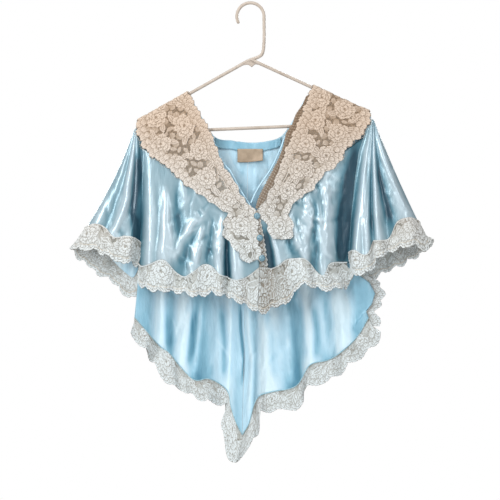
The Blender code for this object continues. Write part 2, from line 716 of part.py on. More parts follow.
def make_side(side):
    """Front, back, sleeve and their lace edgings on one side."""
    front_side_row = 0 if side == "right" else len(FRONT["left"]) - 1
    back_side_row = len(BACK[side]) - 1
    front_at = partial(panel_points, side, FRONT[side], -1, side_row=front_side_row)
    back_at = partial(panel_points, side, BACK[side], 1, side_row=back_side_row)
    sleeve_at = partial(sleeve_points, side)
    front_middle = -1 if side == "right" else 0
    front_points = front_at(np.linspace(0, 1, FRONT_ROWS))
    front = cloth(f"front_{side}", front_points, SATIN_WALL, SATIN, middle=front_middle)
    back_points = back_at(np.linspace(0, 1, BACK_ROWS))
    back = cloth(f"back_{side}", back_points, SATIN_WALL, SATIN, middle=0)
    sleeve = cloth(f"sleeve_{side}", sleeve_at(np.linspace(0, 1, SLEEVE_ROWS)), SATIN_WALL, SATIN)
    lift = SATIN_WALL / 2 + LAY_GAP + LACE_WALL / 2
    front_span = (1, None) if side == "right" else (None, -1)
    for part, points_at, table, middle, span in (
            ("front", front_at, FRONT, front_middle, front_span),
            ("back", back_at, BACK, 0, (None, -1)),
            ("sleeve", sleeve_at, SLEEVE, None, (2, -2))):
        strip = edging(points_at, table[side], middle, *span)
        facing = lift * OUTWARD[part, side]
        cloth(f"{part}_edging_{side}", strip, LACE_WALL, LACE, facing, middle)
    return front, sleeve, back, back_points


def make_yoke(side, trees):
    """Lace yoke, laid in front of the satin that it covers."""
    flat = yoke_points(side)
    clear = first_hits(flat, trees, YOKE_SPREAD) - LAY_GAP - LACE_WALL / 2 - YOKE_CLEARANCE
    flat[..., 1] = np.minimum(flat[..., 1], clear)
    return cloth(f"yoke_{side}", np.array(over_arm(flat[0]) + list(flat)), LACE_WALL, LACE)


def main():
    """Build the hanger, then each side of the jacket, then what lies on both."""
    make_hanger()
    fronts, backs, neck = [], [], []
    for side in ("right", "left"):
        front, sleeve, back, back_points = make_side(side)
        neck.append(back_points)
        backs.append(back)
        bpy.context.view_layer.update()
        fronts += [front, make_yoke(side, [tree_of(front), tree_of(sleeve)])]
    make_facing(neck)
    make_roll()
    bpy.context.view_layer.update()
    make_label([tree_of(piece) for piece in backs + [bpy.data.objects["neck_facing"]]])
    front_trees = [tree_of(piece) for piece in fronts]
    for number, place in enumerate(BUTTONS, 1):
        around = np.array([[[place.x, 0, -place.drop]]], float)
        depth = float(first_hits(around, front_trees, BUTTON_RADIUS)[0, 0]) - SEAM_GAP
        button(f"button_{number}", place.x, place.drop, depth)


for thing in list(bpy.data.objects):
    bpy.data.objects.remove(thing)
JACKET = bpy.data.collections.new("bed_jacket")
CUTTERS = bpy.data.collections.new("cutters")
for group in (JACKET, CUTTERS):
    bpy.context.scene.collection.children.link(group)
SATIN = principled("satin", (0.36, 0.62, 0.72), 0.3)
LACE = principled("lace", (0.72, 0.64, 0.52), 0.8)
LABEL = principled("label", (0.74, 0.68, 0.56), 0.5)
PEARL = principled("pearl_button", (0.55, 0.72, 0.78), 0.25)
PLASTIC = principled("hanger_plastic", (0.86, 0.83, 0.78), 0.35)
main()
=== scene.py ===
"""Satin and lace bed jacket on its hanger, as it looks: folds, lace, sewing, buttons and finishes.

Tables are in millimetres. x runs to the viewer's right, "drop" is the distance below the inner
crown of the hook (the origin) and depth y is negative towards the viewer.
"left" and "right" in names are the wearer's.
"""

import math
from collections import namedtuple

import bmesh
import bpy
import numpy as np
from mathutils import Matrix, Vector
from mathutils.bvhtree import BVHTree


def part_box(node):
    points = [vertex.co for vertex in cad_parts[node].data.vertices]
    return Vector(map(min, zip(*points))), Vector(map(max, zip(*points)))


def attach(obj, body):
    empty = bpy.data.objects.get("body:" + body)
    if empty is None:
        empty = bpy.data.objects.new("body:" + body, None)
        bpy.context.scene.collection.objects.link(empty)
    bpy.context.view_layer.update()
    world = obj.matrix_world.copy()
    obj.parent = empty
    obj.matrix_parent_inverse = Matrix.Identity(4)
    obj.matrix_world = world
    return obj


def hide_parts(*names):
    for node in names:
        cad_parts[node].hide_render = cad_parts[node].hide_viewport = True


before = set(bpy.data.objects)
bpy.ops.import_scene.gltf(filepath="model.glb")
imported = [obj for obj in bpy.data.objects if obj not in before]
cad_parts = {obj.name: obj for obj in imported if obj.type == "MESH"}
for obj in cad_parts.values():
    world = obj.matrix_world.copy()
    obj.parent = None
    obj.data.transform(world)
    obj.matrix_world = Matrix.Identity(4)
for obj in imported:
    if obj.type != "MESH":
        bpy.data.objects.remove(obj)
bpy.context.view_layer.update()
MM = 0.001


def rows_of(kind, *rows):
    """The rows of a table, as named tuples of one kind."""
    return tuple(kind(*row) for row in rows)


# The side seam and armhole, from shoulder tip to hem: one line for each side
Station = namedtuple("Station", "drop x")
SIDE_LINE = {
    "right": rows_of(Station,
        (227, -208), (273, -197), (324, -198), (401, -201), (474, -204), (525, -208), (586, -214)),
    "left": rows_of(Station,
        (209, 220), (242, 209), (273, 199), (324, 192), (401, 185), (474, 181), (494, 192), (512, 217),
        (532, 227), (552, 221), (564, 210), (590, 221)),
}
SHOULDER_TIP = {"right": 227.0, "left": 210.0}
UNDERARM = {"right": 401.0, "left": 401.0}

# A strand runs down the cloth along the crest or the valley of a fold.
# fold: depth of the crest (-) or valley (+) at the hem; bow: sideways swing at mid length;
# lace_x, lace_drop: outer edge of the lace there; lace_top: drop at which the lace begins
Strand = namedtuple("Strand", "top_x top_drop hem_x hem_drop fold bow lace_x lace_drop lace_top")
FRONT = {
    "right": rows_of(Strand,
        (-199, 262, -205, 490, 0, 0, -208, 509, 476), (-194, 267, -199, 498, 3, 0, -199, 516, 481),
        (-185, 271, -187, 501, 0, 0, -187, 520, 478), (-170, 276, -174, 507, 1, 0, -174, 525, 472),
        (-157, 287, -158, 507, -6, 0, -158, 523, 470), (-141, 302, -139, 509, 2, 0, -139, 527, 490),
        (-123, 313, -121, 511, 1, 0, -121, 527, 500), (-102, 328, -104, 514, -6, 0, -104, 533, 490),
        (-86, 339, -88, 514, 0, 0, -88, 533, 478), (-73, 350, -71, 511, 2, 0, -71, 527, 481),
        (-60, 361, -56, 514, -6, 0, -56, 531, 496), (-49, 370, -42, 516, 8, 0, -42, 534, 501),
        (-35, 373, -26, 523, -5, 0, -26, 542, 506), (-18, 375, -7, 534, -1, 3, -7, 551, 500),
        (6, 384, 12, 545, 0, 6, 12, 564, 483)),
    "left": rows_of(Strand,
        (6, 384, 12, 545, 0, 6, 12, 564, 483), (11, 379, 28, 541, 5, 4, 27, 563, 483),
        (17, 372, 44, 533, 6, 2, 43, 552, 485), (28, 361, 58, 527, -8, 0, 58, 550, 480),
        (44, 354, 72, 516, -6, 0, 73, 536, 469), (62, 350, 88, 500, -2, 0, 88, 515, 467),
        (79, 340, 103, 498, -5, 0, 103, 514, 468), (93, 329, 118, 501, 3, 0, 119, 518, 487),
        (106, 322, 133, 505, -5, 0, 135, 522, 498), (119, 311, 145, 503, -2, 0, 150, 522, 478),
        (135, 293, 155, 501, 2, 0, 161, 518, 474), (163, 271, 165, 500, 5, 0, 171, 520, 474),
        (199, 242, 176, 492, 0, 0, 183, 514, 474)),
}
BACK = {
    "right": rows_of(Strand,
        (-5, 253, -16, 800, -9, 0, -26, 847, 791), (-15, 252, -27, 781, -6, 0, -42, 829, 770),
        (-22, 251, -37, 754, 3, 0, -53, 778, 741), (-27, 251, -42, 730, 10, 0, -46, 743, 716),
        (-35, 249, -55, 717, 8, 0, -55, 736, 701), (-66, 243, -79, 710, -4, 0, -79, 730, 688),
        (-93, 203, -104, 701, -9, 0, -102, 721, 690), (-113, 170, -130, 684, 6, 0, -126, 710, 668),
        (-134, 173, -152, 666, -6, 0, -154, 695, 640), (-156, 185, -170, 646, 6, 0, -179, 664, 628),
        (-183, 199, -192, 619, -8, 0, -192, 635, 600), (-208, 218, -214, 586, 0, 0, -221, 608, 573)),
    "left": rows_of(Strand,
        (-5, 253, -16, 800, -9, 0, -26, 847, 791), (4, 253, -4, 778, -9, 0, -7, 816, 770),
        (11, 253, 5, 750, -7, 0, 13, 787, 737), (18, 252, 15, 732, 2, 0, 18, 754, 721),
        (27, 251, 38, 728, 9, 0, 38, 748, 714), (55, 242, 84, 716, -8, 0, 92, 739, 701),
        (79, 210, 110, 683, 7, 0, 104, 706, 664), (106, 165, 145, 672, -5, 0, 150, 688, 653),
        (134, 156, 174, 648, 6, 0, 181, 664, 635), (174, 174, 201, 620, -8, 0, 218, 633, 606),
        (216, 198, 221, 590, 0, 0, 240, 606, 574)),
}

# A ray fans out from the shoulder tip to the sleeve's hem, from the front of the underarm
# seam round the outer edge to the back of it
Ray = namedtuple("Ray", "hem_x hem_drop depth lace_x lace_drop lace_top")
SLEEVE = {
    "right": rows_of(Ray,
        (-204, 467, 0, -206, 489, 441), (-210, 459, -15, -214, 476, 434), (-221, 452, -28, -223, 470, 428),
        (-236, 448, -25, -238, 474, 426), (-253, 443, -29, -254, 463, 428),
        (-273, 434, -21, -274, 456, 412), (-291, 425, -21, -293, 448, 404),
        (-306, 425, -13, -315, 450, 408), (-316, 434, -2, -329, 447, 414), (-309, 450, 8, -318, 465, 430),
        (-291, 467, 15, -300, 476, 450), (-271, 478, 8, -282, 494, 458), (-251, 492, 16, -258, 505, 478),
        (-234, 509, 9, -240, 525, 492), (-218, 514, 14, -220, 538, 500), (-204, 492, 0, -203, 522, 474)),
    "left": rows_of(Ray,
        (178, 485, 0, 181, 511, 459), (181, 476, -15, 183, 503, 454), (188, 472, -28, 192, 496, 452),
        (201, 472, -29, 203, 492, 459), (212, 468, -33, 212, 490, 458), (223, 458, -25, 225, 476, 436),
        (234, 447, -31, 234, 461, 434), (253, 439, -22, 253, 454, 430), (273, 426, -24, 271, 447, 401),
        (293, 419, -26, 293, 441, 393), (311, 421, -15, 317, 450, 395), (320, 428, -3, 333, 434, 404),
        (311, 441, 8, 317, 454, 423), (291, 456, 15, 296, 467, 437), (271, 467, 8, 274, 479, 448),
        (251, 474, 16, 253, 487, 456), (229, 481, 9, 231, 500, 463), (207, 487, 15, 209, 512, 467),
        (181, 489, 0, 188, 518, 470)),
}

# Sections across each lace yoke, from the neck edge to the outer edge
Section = namedtuple("Section", "neck_x neck_drop outer_x outer_drop")
YOKE = {
    "right": rows_of(Section,
        (-113, 161, -211, 223), (-106, 174, -208, 243), (-97, 190, -194, 271), (-88, 209, -176, 285),
        (-79, 225, -156, 298), (-71, 245, -134, 318), (-62, 271, -112, 335), (-49, 302, -88, 350),
        (-31, 329, -66, 366), (-15, 359, -42, 384), (5, 381, -48, 403), (10, 404, -46, 425),
        (12, 426, -31, 443), (15, 450, -16, 463), (16, 468, -4, 476)),
    "left": rows_of(Section,
        (110, 150, 221, 206), (104, 167, 216, 221), (97, 185, 205, 240), (90, 207, 192, 251),
        (82, 227, 174, 265), (73, 247, 165, 284), (64, 269, 150, 300), (57, 293, 128, 315),
        (46, 324, 110, 340), (35, 348, 88, 355), (24, 368, 68, 375), (14, 384, 68, 389), (27, 401, 75, 414),
        (35, 419, 70, 428), (40, 432, 57, 433)),
}
# The lace neck edge that is rolled under on the wearer's left
ROLL = rows_of(Section,
    (101, 170, 108, 165), (93, 187, 102, 183), (82, 203, 95, 201), (75, 221, 88, 221), (64, 238, 81, 240),
    (59, 260, 73, 264), (51, 282, 66, 289), (40, 304, 55, 315), (27, 329, 42, 340), (13, 357, 27, 364),
    (8, 375, 16, 381))
BUTTONS = rows_of(Station,
    (390, 11), (430, 16), (467, 20))

# Where the outer edge of each sleeve lies among its rays
OUTER_ROW = {"right": 8, "left": 11}
SATIN_UNDER_LACE = 2.0   # satin left behind the top of the hem lace

# Creases, listed one by one: height (a trough is below nought), half width at the start, the share by which
# it widens, and its line down the cloth
Crease = namedtuple("Crease", "height width spread line")
CREASES = {
    ("front", "right"): rows_of(Crease,
        (3.4, 4, 2.2, ((-156, 338), (-155, 380), (-157, 430), (-166, 478))),
        (2.2, 4, 1.5, ((-152, 400), (-146, 440), (-140, 476))),
        (-2.2, 6, 0.5, ((-138, 330), (-132, 390), (-126, 440))),
        (3.6, 5, 0.6, ((-84, 393), (-108, 402), (-126, 430), (-140, 470))),
        (2.4, 4, 0.6, ((-86, 400), (-92, 430), (-98, 470))),
        (-2.6, 7, 0.8, ((-100, 420), (-112, 446), (-118, 480))),
        (3.4, 3.5, 1.2, ((-52, 386), (-53, 420), (-60, 470))),
        (-5.0, 3.5, 0.6, ((-43, 425), (-44, 460), (-42, 512))), (1.3, 2.5, 0.0, ((-102, 382), (-94, 392))),
        (1.2, 2.5, 0.0, ((-92, 376), (-84, 388))), (-1.2, 2.5, 0.0, ((-98, 378), (-90, 392))),
        (1.8, 6, 0.5, ((-30, 440), (-27, 480), (-32, 505))),
        (1.2, 5, 0.5, ((-178, 330), (-176, 400), (-180, 460))),
        (1.5, 3, 0.5, ((-128, 322), (-122, 340), (-120, 362))),
        (-1.4, 3, 0.5, ((-70, 392), (-72, 420), (-78, 450))),
        (1.6, 3, 0.3, ((-112, 440), (-104, 456), (-100, 476))),
        (1.4, 2.5, 0.3, ((-128, 462), (-118, 470), (-110, 484)))),
    ("front", "left"): rows_of(Crease,
        (3.2, 4, 1.0, ((66, 379), (77, 415), (90, 448), (104, 466))),
        (-2.4, 6, 0.5, ((58, 392), (66, 430), (78, 464))), (1.5, 2.5, 0.3, ((77, 355), (92, 364))),
        (-1.3, 2.5, 0.3, ((74, 361), (90, 372))), (1.4, 2.5, 0.3, ((84, 348), (100, 352))),
        (-1.1, 3, 0.3, ((94, 342), (108, 356))), (1.4, 3, 0.3, ((108, 330), (120, 345))),
        (-1.2, 3, 0.3, ((116, 322), (126, 342))), (2.6, 5, 0.6, ((104, 350), (103, 400), (106, 462))),
        (-3.0, 5, 0.8, ((116, 350), (118, 420), (122, 474))),
        (3.0, 5, 0.6, ((138, 310), (137, 390), (138, 458))),
        (1.4, 6, 0.5, ((92, 372), (97, 410), (97, 446))),
        (1.2, 5, 0.5, ((124, 360), (128, 420), (132, 470))),
        (-6.0, 12, 0.3, ((200, 240), (184, 320), (170, 400), (160, 490))),
        (-4.2, 12, 0.3, ((22, 400), (32, 450), (40, 520))),
        (3.2, 3, 0.3, ((32, 404), (45, 452), (52, 489), (58, 525))),
        (1.5, 3, 0.4, ((98, 380), (106, 392), (112, 412))),
        (1.6, 3, 0.4, ((118, 372), (110, 396), (112, 420))),
        (1.5, 3, 0.4, ((86, 396), (96, 412), (98, 436))),
        (-1.4, 3, 0.4, ((128, 352), (134, 372), (132, 398))),
        (1.5, 3, 0.4, ((146, 340), (142, 366), (146, 398))),
        (1.4, 3, 0.4, ((122, 430), (114, 446), (116, 468))),
        (-1.5, 3, 0.4, ((92, 440), (86, 456), (90, 476))),
        (1.6, 3, 0.4, ((134, 440), (140, 458), (150, 470)))),
    ("back", "right"): rows_of(Crease,
        (3.0, 6, 0.5, ((-112, 545), (-124, 605), (-140, 640))),
        (3.0, 4, 0.5, ((-92, 545), (-98, 615), (-106, 680))),
        (-2.5, 6, 0.5, ((-104, 560), (-112, 640), (-118, 670))),
        (-2.0, 7, 0.5, ((-160, 520), (-156, 590), (-152, 640))),
        (2.0, 9, 0.5, ((-150, 250), (-120, 330), (-110, 430))),
        (-2.0, 10, 0.5, ((-60, 280), (-80, 360), (-84, 460))),
        (1.5, 6, 0.5, ((-30, 300), (-44, 400), (-40, 520))),
        (-4.0, 7, 0.3, ((-56, 540), (-50, 620), (-50, 700))),
        (-3.5, 2.2, 0.2, ((-21, 545), (-19, 600), (-13, 655), (-16, 700))),
        (-3.5, 5, 0.4, ((-112, 543), (-126, 590), (-139, 635)))),
    ("back", "left"): rows_of(Crease,
        (2.5, 6, 0.5, ((66, 545), (70, 620), (74, 700))),
        (-2.5, 6, 0.5, ((92, 540), (98, 620), (104, 660))),
        (2.0, 5, 0.5, ((128, 540), (134, 600), (142, 650))),
        (1.6, 6, 0.5, ((176, 560), (168, 600), (180, 620))),
        (2.0, 9, 0.5, ((150, 240), (122, 330), (112, 440))),
        (-2.0, 9, 0.5, ((60, 280), (76, 360), (80, 470))), (1.5, 6, 0.5, ((20, 310), (34, 400), (30, 540))),
        (-3.2, 8, 0.3, ((24, 540), (38, 620), (42, 700))),
        (-3.2, 6, 0.3, ((112, 540), (122, 600), (120, 660))),
        (2.4, 4, 0.5, ((-8, 545), (-4, 610), (2, 660), (-6, 780)))),
    ("sleeve", "right"): rows_of(Crease,
        (4.5, 4.0, 0.3, ((-213, 232), (-216, 269), (-221, 305), (-226, 338), (-225, 357), (-230, 373), (-238, 393), (-246, 412), (-262, 424))),
        (-2.5, 5, 0.5, ((-232, 380), (-242, 410), (-236, 428))),
        (-1.6, 8, 0.5, ((-240, 300), (-256, 350), (-270, 400))),
        (1.0, 8, 0.5, ((-250, 310), (-268, 360), (-284, 398))),
        (-7.0, 8, 0.2, ((-204, 250), (-208, 320), (-213, 380), (-214, 480)))),
    ("sleeve", "left"): rows_of(Crease,
        (3.5, 3.5, 0.4, ((214, 226), (207, 306), (205, 388), (210, 445))),
        (3.5, 3.5, 0.4, ((223, 230), (227, 324), (229, 397), (232, 425))),
        (3.5, 3.5, 0.5, ((227, 226), (240, 280), (256, 320), (280, 371), (304, 394))),
        (-3.5, 6, 0.5, ((226, 260), (236, 320), (250, 372), (262, 410))),
        (-2.5, 5, 0.3, ((216, 290), (217, 360), (219, 420)))),
}

# Faint creases: where they start across and down a panel, how high and how slanting they are
Zone = namedtuple("Zone", "seed count x drop height lean")
CRUMPLES = {
    ("front", "right"): rows_of(Zone,
        (3, 34, (-190, -20), (320, 455), 0.8, 0.4), (4, 16, (-100, -50), (370, 450), 1.3, 0.6)),
    ("front", "left"): rows_of(Zone,
        (5, 34, (30, 190), (290, 450), 0.8, 0.4), (6, 40, (75, 150), (300, 440), 1.5, 0.8)),
    ("back", "right"): rows_of(Zone,
        (7, 44, (-180, -5), (420, 690), 0.9, 0.4), (8, 18, (-60, -2), (262, 350), 1.0, 0.5)),
    ("back", "left"): rows_of(Zone,
        (11, 44, (5, 190), (420, 680), 0.9, 0.4), (12, 16, (2, 54), (262, 350), 1.0, 0.5)),
    ("sleeve", "right"): rows_of(Zone,
        (13, 26, (-285, -215), (260, 400), 0.8, 0.4)),
    ("sleeve", "left"): rows_of(Zone,
        (17, 30, (200, 300), (250, 390), 0.8, 0.4)),
}

# Roses of the yokes' lace
Rose = namedtuple("Rose", "x drop size turn")
ROSES = {
    "right": rows_of(Rose,
        (-128, 174, 17, 0.2), (-122, 224, 20, 1.0), (-174, 209, 18, 0.5), (-165, 258, 18, 1.4),
        (-93, 270, 18, 0.1), (-136, 296, 17, 0.8), (-83, 321, 19, 0.4), (-44, 360, 17, 1.2),
        (-19, 408, 19, 0.3), (-12, 446, 13, 0.9), (-203, 232, 12, 0.0), (-104, 192, 11, 0.6)),
    "left": rows_of(Rose,
        (130, 172, 17, 0.9), (172, 194, 18, 0.2), (118, 214, 18, 0.6), (160, 238, 18, 1.3),
        (100, 258, 18, 0.0), (138, 280, 17, 0.7), (84, 304, 17, 1.1), (66, 344, 17, 0.3),
        (33, 374, 12, 0.8), (52, 408, 18, 0.5), (203, 214, 13, 0.4), (104, 306, 12, 0.2)),
}
# Shade in the folds of the fronts' hem lace: how far along from its first edge, half width, strength
HEM_SHADE = {
    ("front", "left"): ((22, 30, 0.65), (62, 10, 0.35)),
    ("front", "right"): ((292, 14, 0.5), (248, 10, 0.4)),
}
# Middles of the roses along the fronts' hem lace
HEM_ROSES = {
    ("front", "right"): (-163, -80, -26),
    ("front", "left"): (20, 70, 135),
}

# Clearances and walls, as in the solids
SATIN_WALL = 1.4
LACE_WALL = 1.2
SEAM_GAP = 0.3
LAY_GAP = 0.65
SATIN_CLOTH = 0.7      # thickness of the cloth shown
LACE_CLOTH = 0.7

# The hanger's arms, which carry the shoulders
APEX_X = -1.0
APEX_DROP = 101.0
ARM_SLOPE = math.radians(27.0)
HANGER_TILT = math.radians(2.4)

# Depth of the hung cloth
FRONT_GRIP = 4.6
BACK_GRIP = 5.6
FRONT_SPREAD = 23.0
BACK_SPREAD = 13.0
FRONT_EASE = 170.0
BACK_EASE = 120.0
RIDGE_RISE = 4.9
ARMHOLE_DEPTH = {-1: 4.0, 1: 9.0}
SIDE_TURN = 2.2
FOLD_START = 0.1
FOLD_GROWTH = {"front": 1.4, "back": 0.8}
SHOULDER_SEAM = 1.5
SEAM_HALF = 0.9
SEAM_SHIFT = -1.5      # body and sleeve pass each other a little, so that no light shows through
SEAM_LAP = 1.0
# The cloth that lies on top at each armhole: -1 is in front and 1 behind
LAPS_OVER = {("right", -1): "body", ("left", -1): "sleeve", ("right", 1): "sleeve", ("left", 1): "sleeve"}
SLEEVE_FILL = 0.55
SLEEVE_TIP_REACH = 6.0
SLEEVE_BOW = {"right": 8.0, "left": -3.0}
CREASED_ROWS = 1.5     # rays before its outer edge over which a sleeve's creases fade out
YOKE_LIFT = 1.9
RIDGE_ANGLES = (-58.0, -36.0, -15.0, 7.0, 28.0)
ROLL_DEPTH = (-0.3, 2.3)
FAR = 200.0
# Which way the cells of each panel's grid are wound to face outwards
OUTWARD = {
    ("front", "right"): -1, ("front", "left"): -1,
    ("back", "right"): -1, ("back", "left"): 1,
    ("sleeve", "right"): 1, ("sleeve", "left"): -1,
}

# Fineness of the cloth shown
STEPS = 8    # columns of satin to each row of a table
SATIN_ROW = 3.0
LACE_GRID = 1.0
LACE_STEPS = 4               # columns to each row of a table, before a hem's lace is refined
LENGTH_SAMPLES = 161
FOLD_DEPTH = 4.0             # a fold this far below its surroundings gets the full painted shade of a deep one
FOLD_REACH = 1.5             # rows of a table on each side that count as its surroundings
FOLD_SHARE = 0.6
CREASE_SHARE = 0.5
DEEP_CREASE = 2.5            # past this depth a crease gets extra painted shade, DEEP_SHADE times its further depth
DEEP_SHADE = 1.0

# Lace
SCALLOP_PITCH = {"front": 27.0, "sleeve": 27.0, "back": 42.0, "yoke": 27.0}
SCALLOP_DEPTH = {"front": 6.5, "sleeve": 6.5, "back": 9.0, "yoke": 6.0}
RUFFLE = {"front": 2.5, "back": 6.5, "sleeve": 3.5}
RELIEF = 2.0            # height of the corded work over the net, on the face
RELIEF_BACK = 0.7       # and on the wrong side
RIB = 3.2               # spacing of the ribs worked into the petals
CORD = 0.9
PETAL_GAP = 0.8         # net left showing round each petal, which the lace's painted shade darkens into an outline
GAP_RELIEF = 0.22
GROUND_RELIEF = 0.55    # how high the ground between the flowers stands, as a share of theirs
GROUND_PETALS = (4.5, 6.5)
LEAF_CHANCE = 0.35
ROSE_RINGS = ((0.66, 7, 0.41, 0.0), (0.42, 5, 0.34, 0.1), (0.2, 3, 0.25, 0.18))    # radius, count, size, lift
SHELL_PETALS = ((1.0, 0.0), (0.7, 0.06), (0.42, 0.12))                             # size, lift
NET = (2, 2)            # cells of the grid to one mesh of the net, along and across
HOLLOW_REACH = 2.5      # cells round a point that decide whether it lies in a hollow of the work
HOLLOW_SHADE = 1.45     # how fast the painted shade in a hollow deepens with its depth
BORDER_PETAL = 6.5      # petals along the lace's outer edge
BORDER_PITCH = 8.6
BORDER_SPARE = 2.4      # how far they pass beyond the edge's middle line
ROSE_PITCH = 77.0
SHADED = 0.8            # how deep in shade the rolled neck edge lies

FACING_DROP = 17.0
NECK_COLUMNS = 5 * STEPS + 1


def smooth(values, where):
    """Read rows of a table between the rows, on a curve through every one."""
    values = np.asarray(values, float)
    slopes = np.gradient(values, axis=0)
    row = np.clip(np.floor(where).astype(int), 0, len(values) - 2)
    t = (where - row).reshape(-1, *[1] * (values.ndim - 1))
    return (values[row] * (1 + 2 * t) * (1 - t) ** 2 + slopes[row] * t * (1 - t) ** 2
            + values[row + 1] * t * t * (3 - 2 * t) + slopes[row + 1] * t * t * (t - 1))


def columns_of(table, steps):
    """Read every column of a table at even steps between its rows."""
    where = np.linspace(0, len(table) - 1, (len(table) - 1) * steps + 1)
    read = {name: smooth([getattr(row, name) for row in table], where) for name in table[0]._fields}
    return where, read


def arm_drop(x):
    """Drop of the middle of the hanger's arm at x."""
    reach = np.asarray(x, float) - APEX_X
    return APEX_DROP + np.where(reach > 0, reach * math.tan(ARM_SLOPE - HANGER_TILT),
                                -reach * math.tan(ARM_SLOPE + HANGER_TILT))


def base_depth(x, drop, sheet):
    """Depth of the unfolded cloth: sheet is -1 in front of the hanger and +1 behind it."""
    below = np.maximum(drop - arm_drop(x), 0)
    if sheet < 0:
        return -FRONT_GRIP - FRONT_SPREAD * (1 - np.exp(-below / FRONT_EASE))
    return BACK_GRIP + BACK_SPREAD * (1 - np.exp(-below / BACK_EASE))


def side_x(side, drop):
    """Where the side seam and armhole lie at a drop."""
    line = SIDE_LINE[side]
    return np.interp(drop, [s.drop for s in line], [s.x for s in line])


def side_depth(side, drop, sheet, cloth):
    """Depth of a panel's edge along the armhole, closing at the underarm."""
    t = np.clip((drop - SHOULDER_TIP[side]) / (UNDERARM[side] - SHOULDER_TIP[side]), 0, 1)
    half = FRONT_GRIP * (1 - t) + ARMHOLE_DEPTH[sheet] * np.sin(np.pi * t)
    return sheet * (half + SEAM_HALF + (SEAM_LAP if LAPS_OVER[side, sheet] == cloth else 0))


def towards_side(where, side_row):
    """Share by which a panel's columns give way to its side edge, from nought to one at the edge."""
    away = np.clip(np.abs(where - side_row) / SIDE_TURN, 0, 1)
    return (1 - away) ** 2 * (1 + 2 * away)


def creased(x, drop, creases):
    """Height of the hand-placed creases over the cloth: ridges above nought, troughs below."""
    height = np.zeros_like(x)
    for crease in creases:
        line = np.array(crease.line, float)
        legs = np.linalg.norm(np.diff(line, axis=0), axis=1)
        run = np.concatenate([[0], np.cumsum(legs)])
        best, along = np.full(x.shape, 1e9), np.zeros(x.shape)
        for k, leg in enumerate(legs):
            ax, ad = line[k]
            ux, ud = (line[k + 1] - line[k]) / leg
            t = np.clip((x - ax) * ux + (drop - ad) * ud, 0, leg)
            away = np.hypot(x - ax - t * ux, drop - ad - t * ud)
            nearer = away < best
            best = np.where(nearer, away, best)
            along = np.where(nearer, run[k] + t, along)
        share = along / run[-1]
        fade = np.clip(share * 4 + 0.15, 0, 1) * np.clip((1 - share) * 5 + 0.25, 0, 1)
        width = crease.width * (1 + crease.spread * share)
        height += crease.height * fade * np.exp(-(best / width) ** 2)
    return height


def small_creases(part, side):
    """Faint creases of worn satin, strewn over a panel with a fixed seed."""
    made = []
    for zone in CRUMPLES[part, side]:
        lot = np.random.default_rng(zone.seed)
        for _ in range(zone.count):
            x, drop = lot.uniform(*zone.x), lot.uniform(*zone.drop)
            lean, length = lot.normal(0.0, zone.lean), lot.uniform(12, 55)
            height = lot.choice((-1, 1)) * lot.uniform(0.3, 1.0) * zone.height
            middle = (x + length * 0.5 * math.sin(lean) + lot.uniform(-3, 3), drop + length * 0.5 * math.cos(lean))
            end = (x + length * math.sin(lean), drop + length * math.cos(lean))
            made.append(Crease(height, lot.uniform(1.8, 3.6), 0.4, ((x, drop), middle, end)))
    return made


def creases_of(part, side):
    """All the creases of a panel, placed and strewn."""
    return list(CREASES[part, side]) + small_creases(part, side)


def panel_points(side, part, lengths, steps):
    """Points of a hanging front or back, one row for each fraction of its length."""
    table = (FRONT if part == "front" else BACK)[side]
    sheet = -1 if part == "front" else 1
    side_row = 0 if (part, side) == ("front", "right") else len(table) - 1
    outward = -1 if side == "right" else 1
    where, col = columns_of(table, steps)
    v = np.asarray(lengths)[:, None]
    turn = towards_side(where, side_row)
    x = col["top_x"] + (col["hem_x"] - col["top_x"]) * v + col["bow"] * np.sin(np.pi * v)
    drop = col["top_drop"] + (col["hem_drop"] - col["top_drop"]) * v
    edge = side_row * steps
    shift = side_x(side, drop[:, edge]) - outward * SEAM_SHIFT - x[:, edge]
    x = x + turn * shift[:, None]
    x[:, -1 if side_row == 0 else 0] += outward * SEAM_GAP / 2
    if sheet > 0:
        drop[0] = np.maximum(drop[0], arm_drop(x[0]) - SHOULDER_SEAM)
    grow = np.clip((v - FOLD_START) / (1 - FOLD_START), 0, 1) ** FOLD_GROWTH[part]
    depth = base_depth(x, drop, sheet) + col["fold"] * grow
    depth = depth + sheet * creased(x, drop, creases_of(part, side)) * np.clip(v / FOLD_START, 0, 1)
    depth = depth * (1 - turn) + side_depth(side, drop, sheet, "body") * turn
    return np.stack([x, depth, -drop], axis=-1)


def sleeve_points(side, lengths, steps):
    """Rays from the shoulder tip to the sleeve's hem: front, outer edge and back."""
    table = SLEEVE[side]
    where, col = columns_of(table, steps)
    v = np.asarray(lengths)[:, None]
    sign = -1 if side == "right" else 1
    tip = SHOULDER_TIP[side]
    span = where / where[-1]
    start_x = side_x(side, tip) + sign * SLEEVE_TIP_REACH * np.sin(np.pi * span)
    start_y = -FRONT_GRIP * np.cos(np.pi * span)
    x = start_x + (col["hem_x"] - start_x) * v + SLEEVE_BOW[side] * np.sin(np.pi * v)
    drop = tip + 2 + (col["hem_drop"] - tip - 2) * v
    depth = start_y + (col["depth"] - start_y) * v ** SLEEVE_FILL
    front_share = np.clip((OUTER_ROW[side] - where) / CREASED_ROWS, 0, 1)
    depth = depth - creased(x, drop, creases_of("sleeve", side)) * front_share * v ** 0.5
    for side_row, sheet in ((0, -1), (len(table) - 1, 1)):
        turn = towards_side(where, side_row)
        edge = side_row * steps
        shift = side_x(side, drop[:, edge]) + SEAM_SHIFT * sign - x[:, edge]
        x = x + turn * shift[:, None]
        depth = depth * (1 - turn) + side_depth(side, drop, sheet, "sleeve") * turn
    return np.stack([x, depth, -drop], axis=-1)


